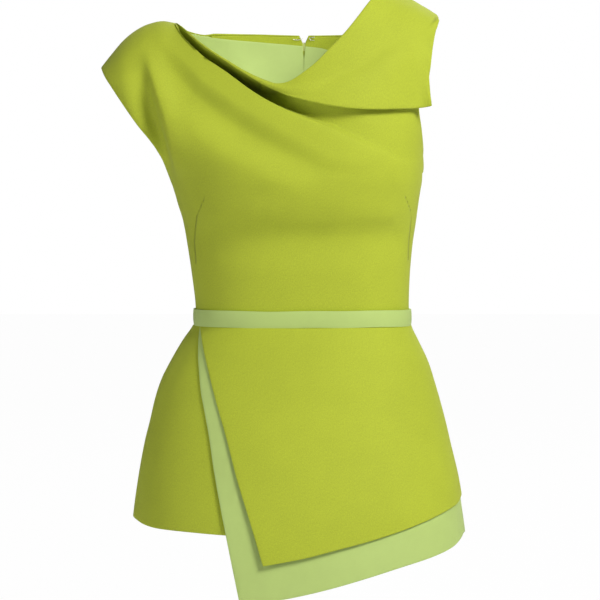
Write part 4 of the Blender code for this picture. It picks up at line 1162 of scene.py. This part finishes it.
def tape_y(height):
    """Inner face of the zip tape at a height."""
    height = np.asarray(height, float)
    upper = bodice_point(BACK_SEAM_X, np.maximum(height, -BELT_HALF), "back", -1.5)[..., 1]
    hip = peplum_base(180.0, height)[..., 1] - peplum_base(180.0, -BELT_HALF)[..., 1]
    share = np.minimum(1.0, (-BELT_HALF - height) / 40.0)
    return np.where(height < -BELT_HALF, upper + hip + share * 2.6, upper)


heights = np.linspace(-110.0, 323.5, 150)
across = np.linspace(-6.0, 6.0, 9)
tape = np.stack([np.broadcast_to(BACK_SEAM_X + across, (150, 9)),
                 np.broadcast_to(tape_y(heights)[:, None], (150, 9)),
                 np.broadcast_to(heights[:, None], (150, 9))], axis=-1)
cloth("zip_tape_cloth", Net(tape, turned=True), INNER_WALL, TAPE, "zip_tape")


# %% Coil of the zip
def join_copies(first, name, look, places):
    """Copies one small piece to each place, each with its own mesh, and joins them."""
    copies = [first]
    for place in places[1:]:
        copy = first.copy()
        copy.data = first.data.copy()
        copy.location = place
        bpy.context.scene.collection.objects.link(copy)
        copies.append(copy)
    first.location = places[0]
    bpy.ops.object.select_all(action="DESELECT")
    for copy in copies:
        copy.select_set(True)
    bpy.context.view_layer.objects.active = first
    bpy.ops.object.join()
    bpy.ops.object.transform_apply(location=True, rotation=True, scale=True)
    bpy.ops.object.shade_smooth()
    first.name = name
    first.data.materials.clear()
    first.data.materials.append(look)
    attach(first, "garment")
    first.select_set(False)
    print(name, len(places), "copies,", len(first.data.polygons), "faces")


def on_tape(side, inside, height):
    """A place on the zip tape in metres, beside its middle line and inside its face."""
    return ((BACK_SEAM_X + side) * MM, (float(tape_y(height)) - inside) * MM, (height - SHOULDER_LEVEL) * MM)


bpy.ops.object.select_all(action="DESELECT")
bpy.ops.mesh.primitive_torus_add(major_segments=10, minor_segments=5, major_radius=0.0011, minor_radius=0.00028)
loop = bpy.context.object
loop.scale = (1.5, 0.75, 1.0)
loop.rotation_euler = (math.radians(12), 0.0, 0.0)
bpy.ops.object.transform_apply(location=False, rotation=True, scale=True)
loop_heights = np.arange(-106.0, 243.0, 1.25)
join_copies(loop, "zip_coil", TAPE, [on_tape(0.0, 0.95, h) for h in loop_heights])

# %% [markdown]
# The tape is sewn down with a row of short stitches on each side. A stitch is a small
# ball, drawn out along the seam and pressed into the cloth. The hook and the eye are bent
# wires, so they are curves with a round section, made a mesh at the end.

# %% Stitches, hook and eye
bpy.ops.mesh.primitive_uv_sphere_add(segments=8, ring_count=5, radius=0.00032)
stitch = bpy.context.object
stitch.scale = (1.0, 0.7, 3.4)
bpy.ops.object.transform_apply(location=False, rotation=False, scale=True)
stitch_heights = np.arange(-104.0, 240.0, 3.4)
join_copies(stitch, "tape_stitches", TAPE, [on_tape(side, 0.05, h) for side in (-4.6, 4.6) for h in stitch_heights])

HOOK_LINE = [(-10.5, 337.2), (-8.0, 336.6), (-5.0, 336.6), (-1.5, 336.8), (0.4, 337.6), (0.6, 338.8), (-0.6, 339.4),
             (-2.6, 339.4)]
EYE_LINE = [(16.0, 339.6), (12.5, 339.4), (10.4, 338.6), (10.2, 337.2), (12.4, 336.4), (16.0, 336.2)]


def bent_wire(name, line, node):
    x, height = np.array(line).T
    y = bodice_point(x, np.minimum(height, 341.0), "back", -4.5)[..., 1]
    bpy.ops.object.select_all(action="DESELECT")
    bpy.ops.curve.primitive_bezier_curve_add(location=(0.0, 0.0, 0.0))
    curve = bpy.context.object
    curve.data.bevel_depth = 0.4 * MM
    curve.data.bevel_resolution = 4
    curve.data.resolution_u = 8
    curve.data.use_fill_caps = True
    points = curve.data.splines[0].bezier_points
    points.add(len(line) - 2)
    for k, point in enumerate(points):
        point.co = (x[k] * MM, y[k] * MM, (height[k] - SHOULDER_LEVEL) * MM)
        point.handle_left_type = point.handle_right_type = "AUTO"
    bpy.ops.object.convert(target="MESH")
    bpy.ops.object.shade_smooth()
    made = bpy.context.object
    made.name = name
    made.data.materials.clear()
    made.data.materials.append(STEEL)
    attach(made, "garment")
    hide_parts(node)
    print(name, len(made.data.polygons), "faces")


bent_wire("neck_hook", HOOK_LINE, "hook")
bent_wire("neck_eye", EYE_LINE, "eye")
for name in ("zip_slider", "pull_tab"):
    nodes[name].data.materials.clear()
    nodes[name].data.materials.append(ENAMEL)
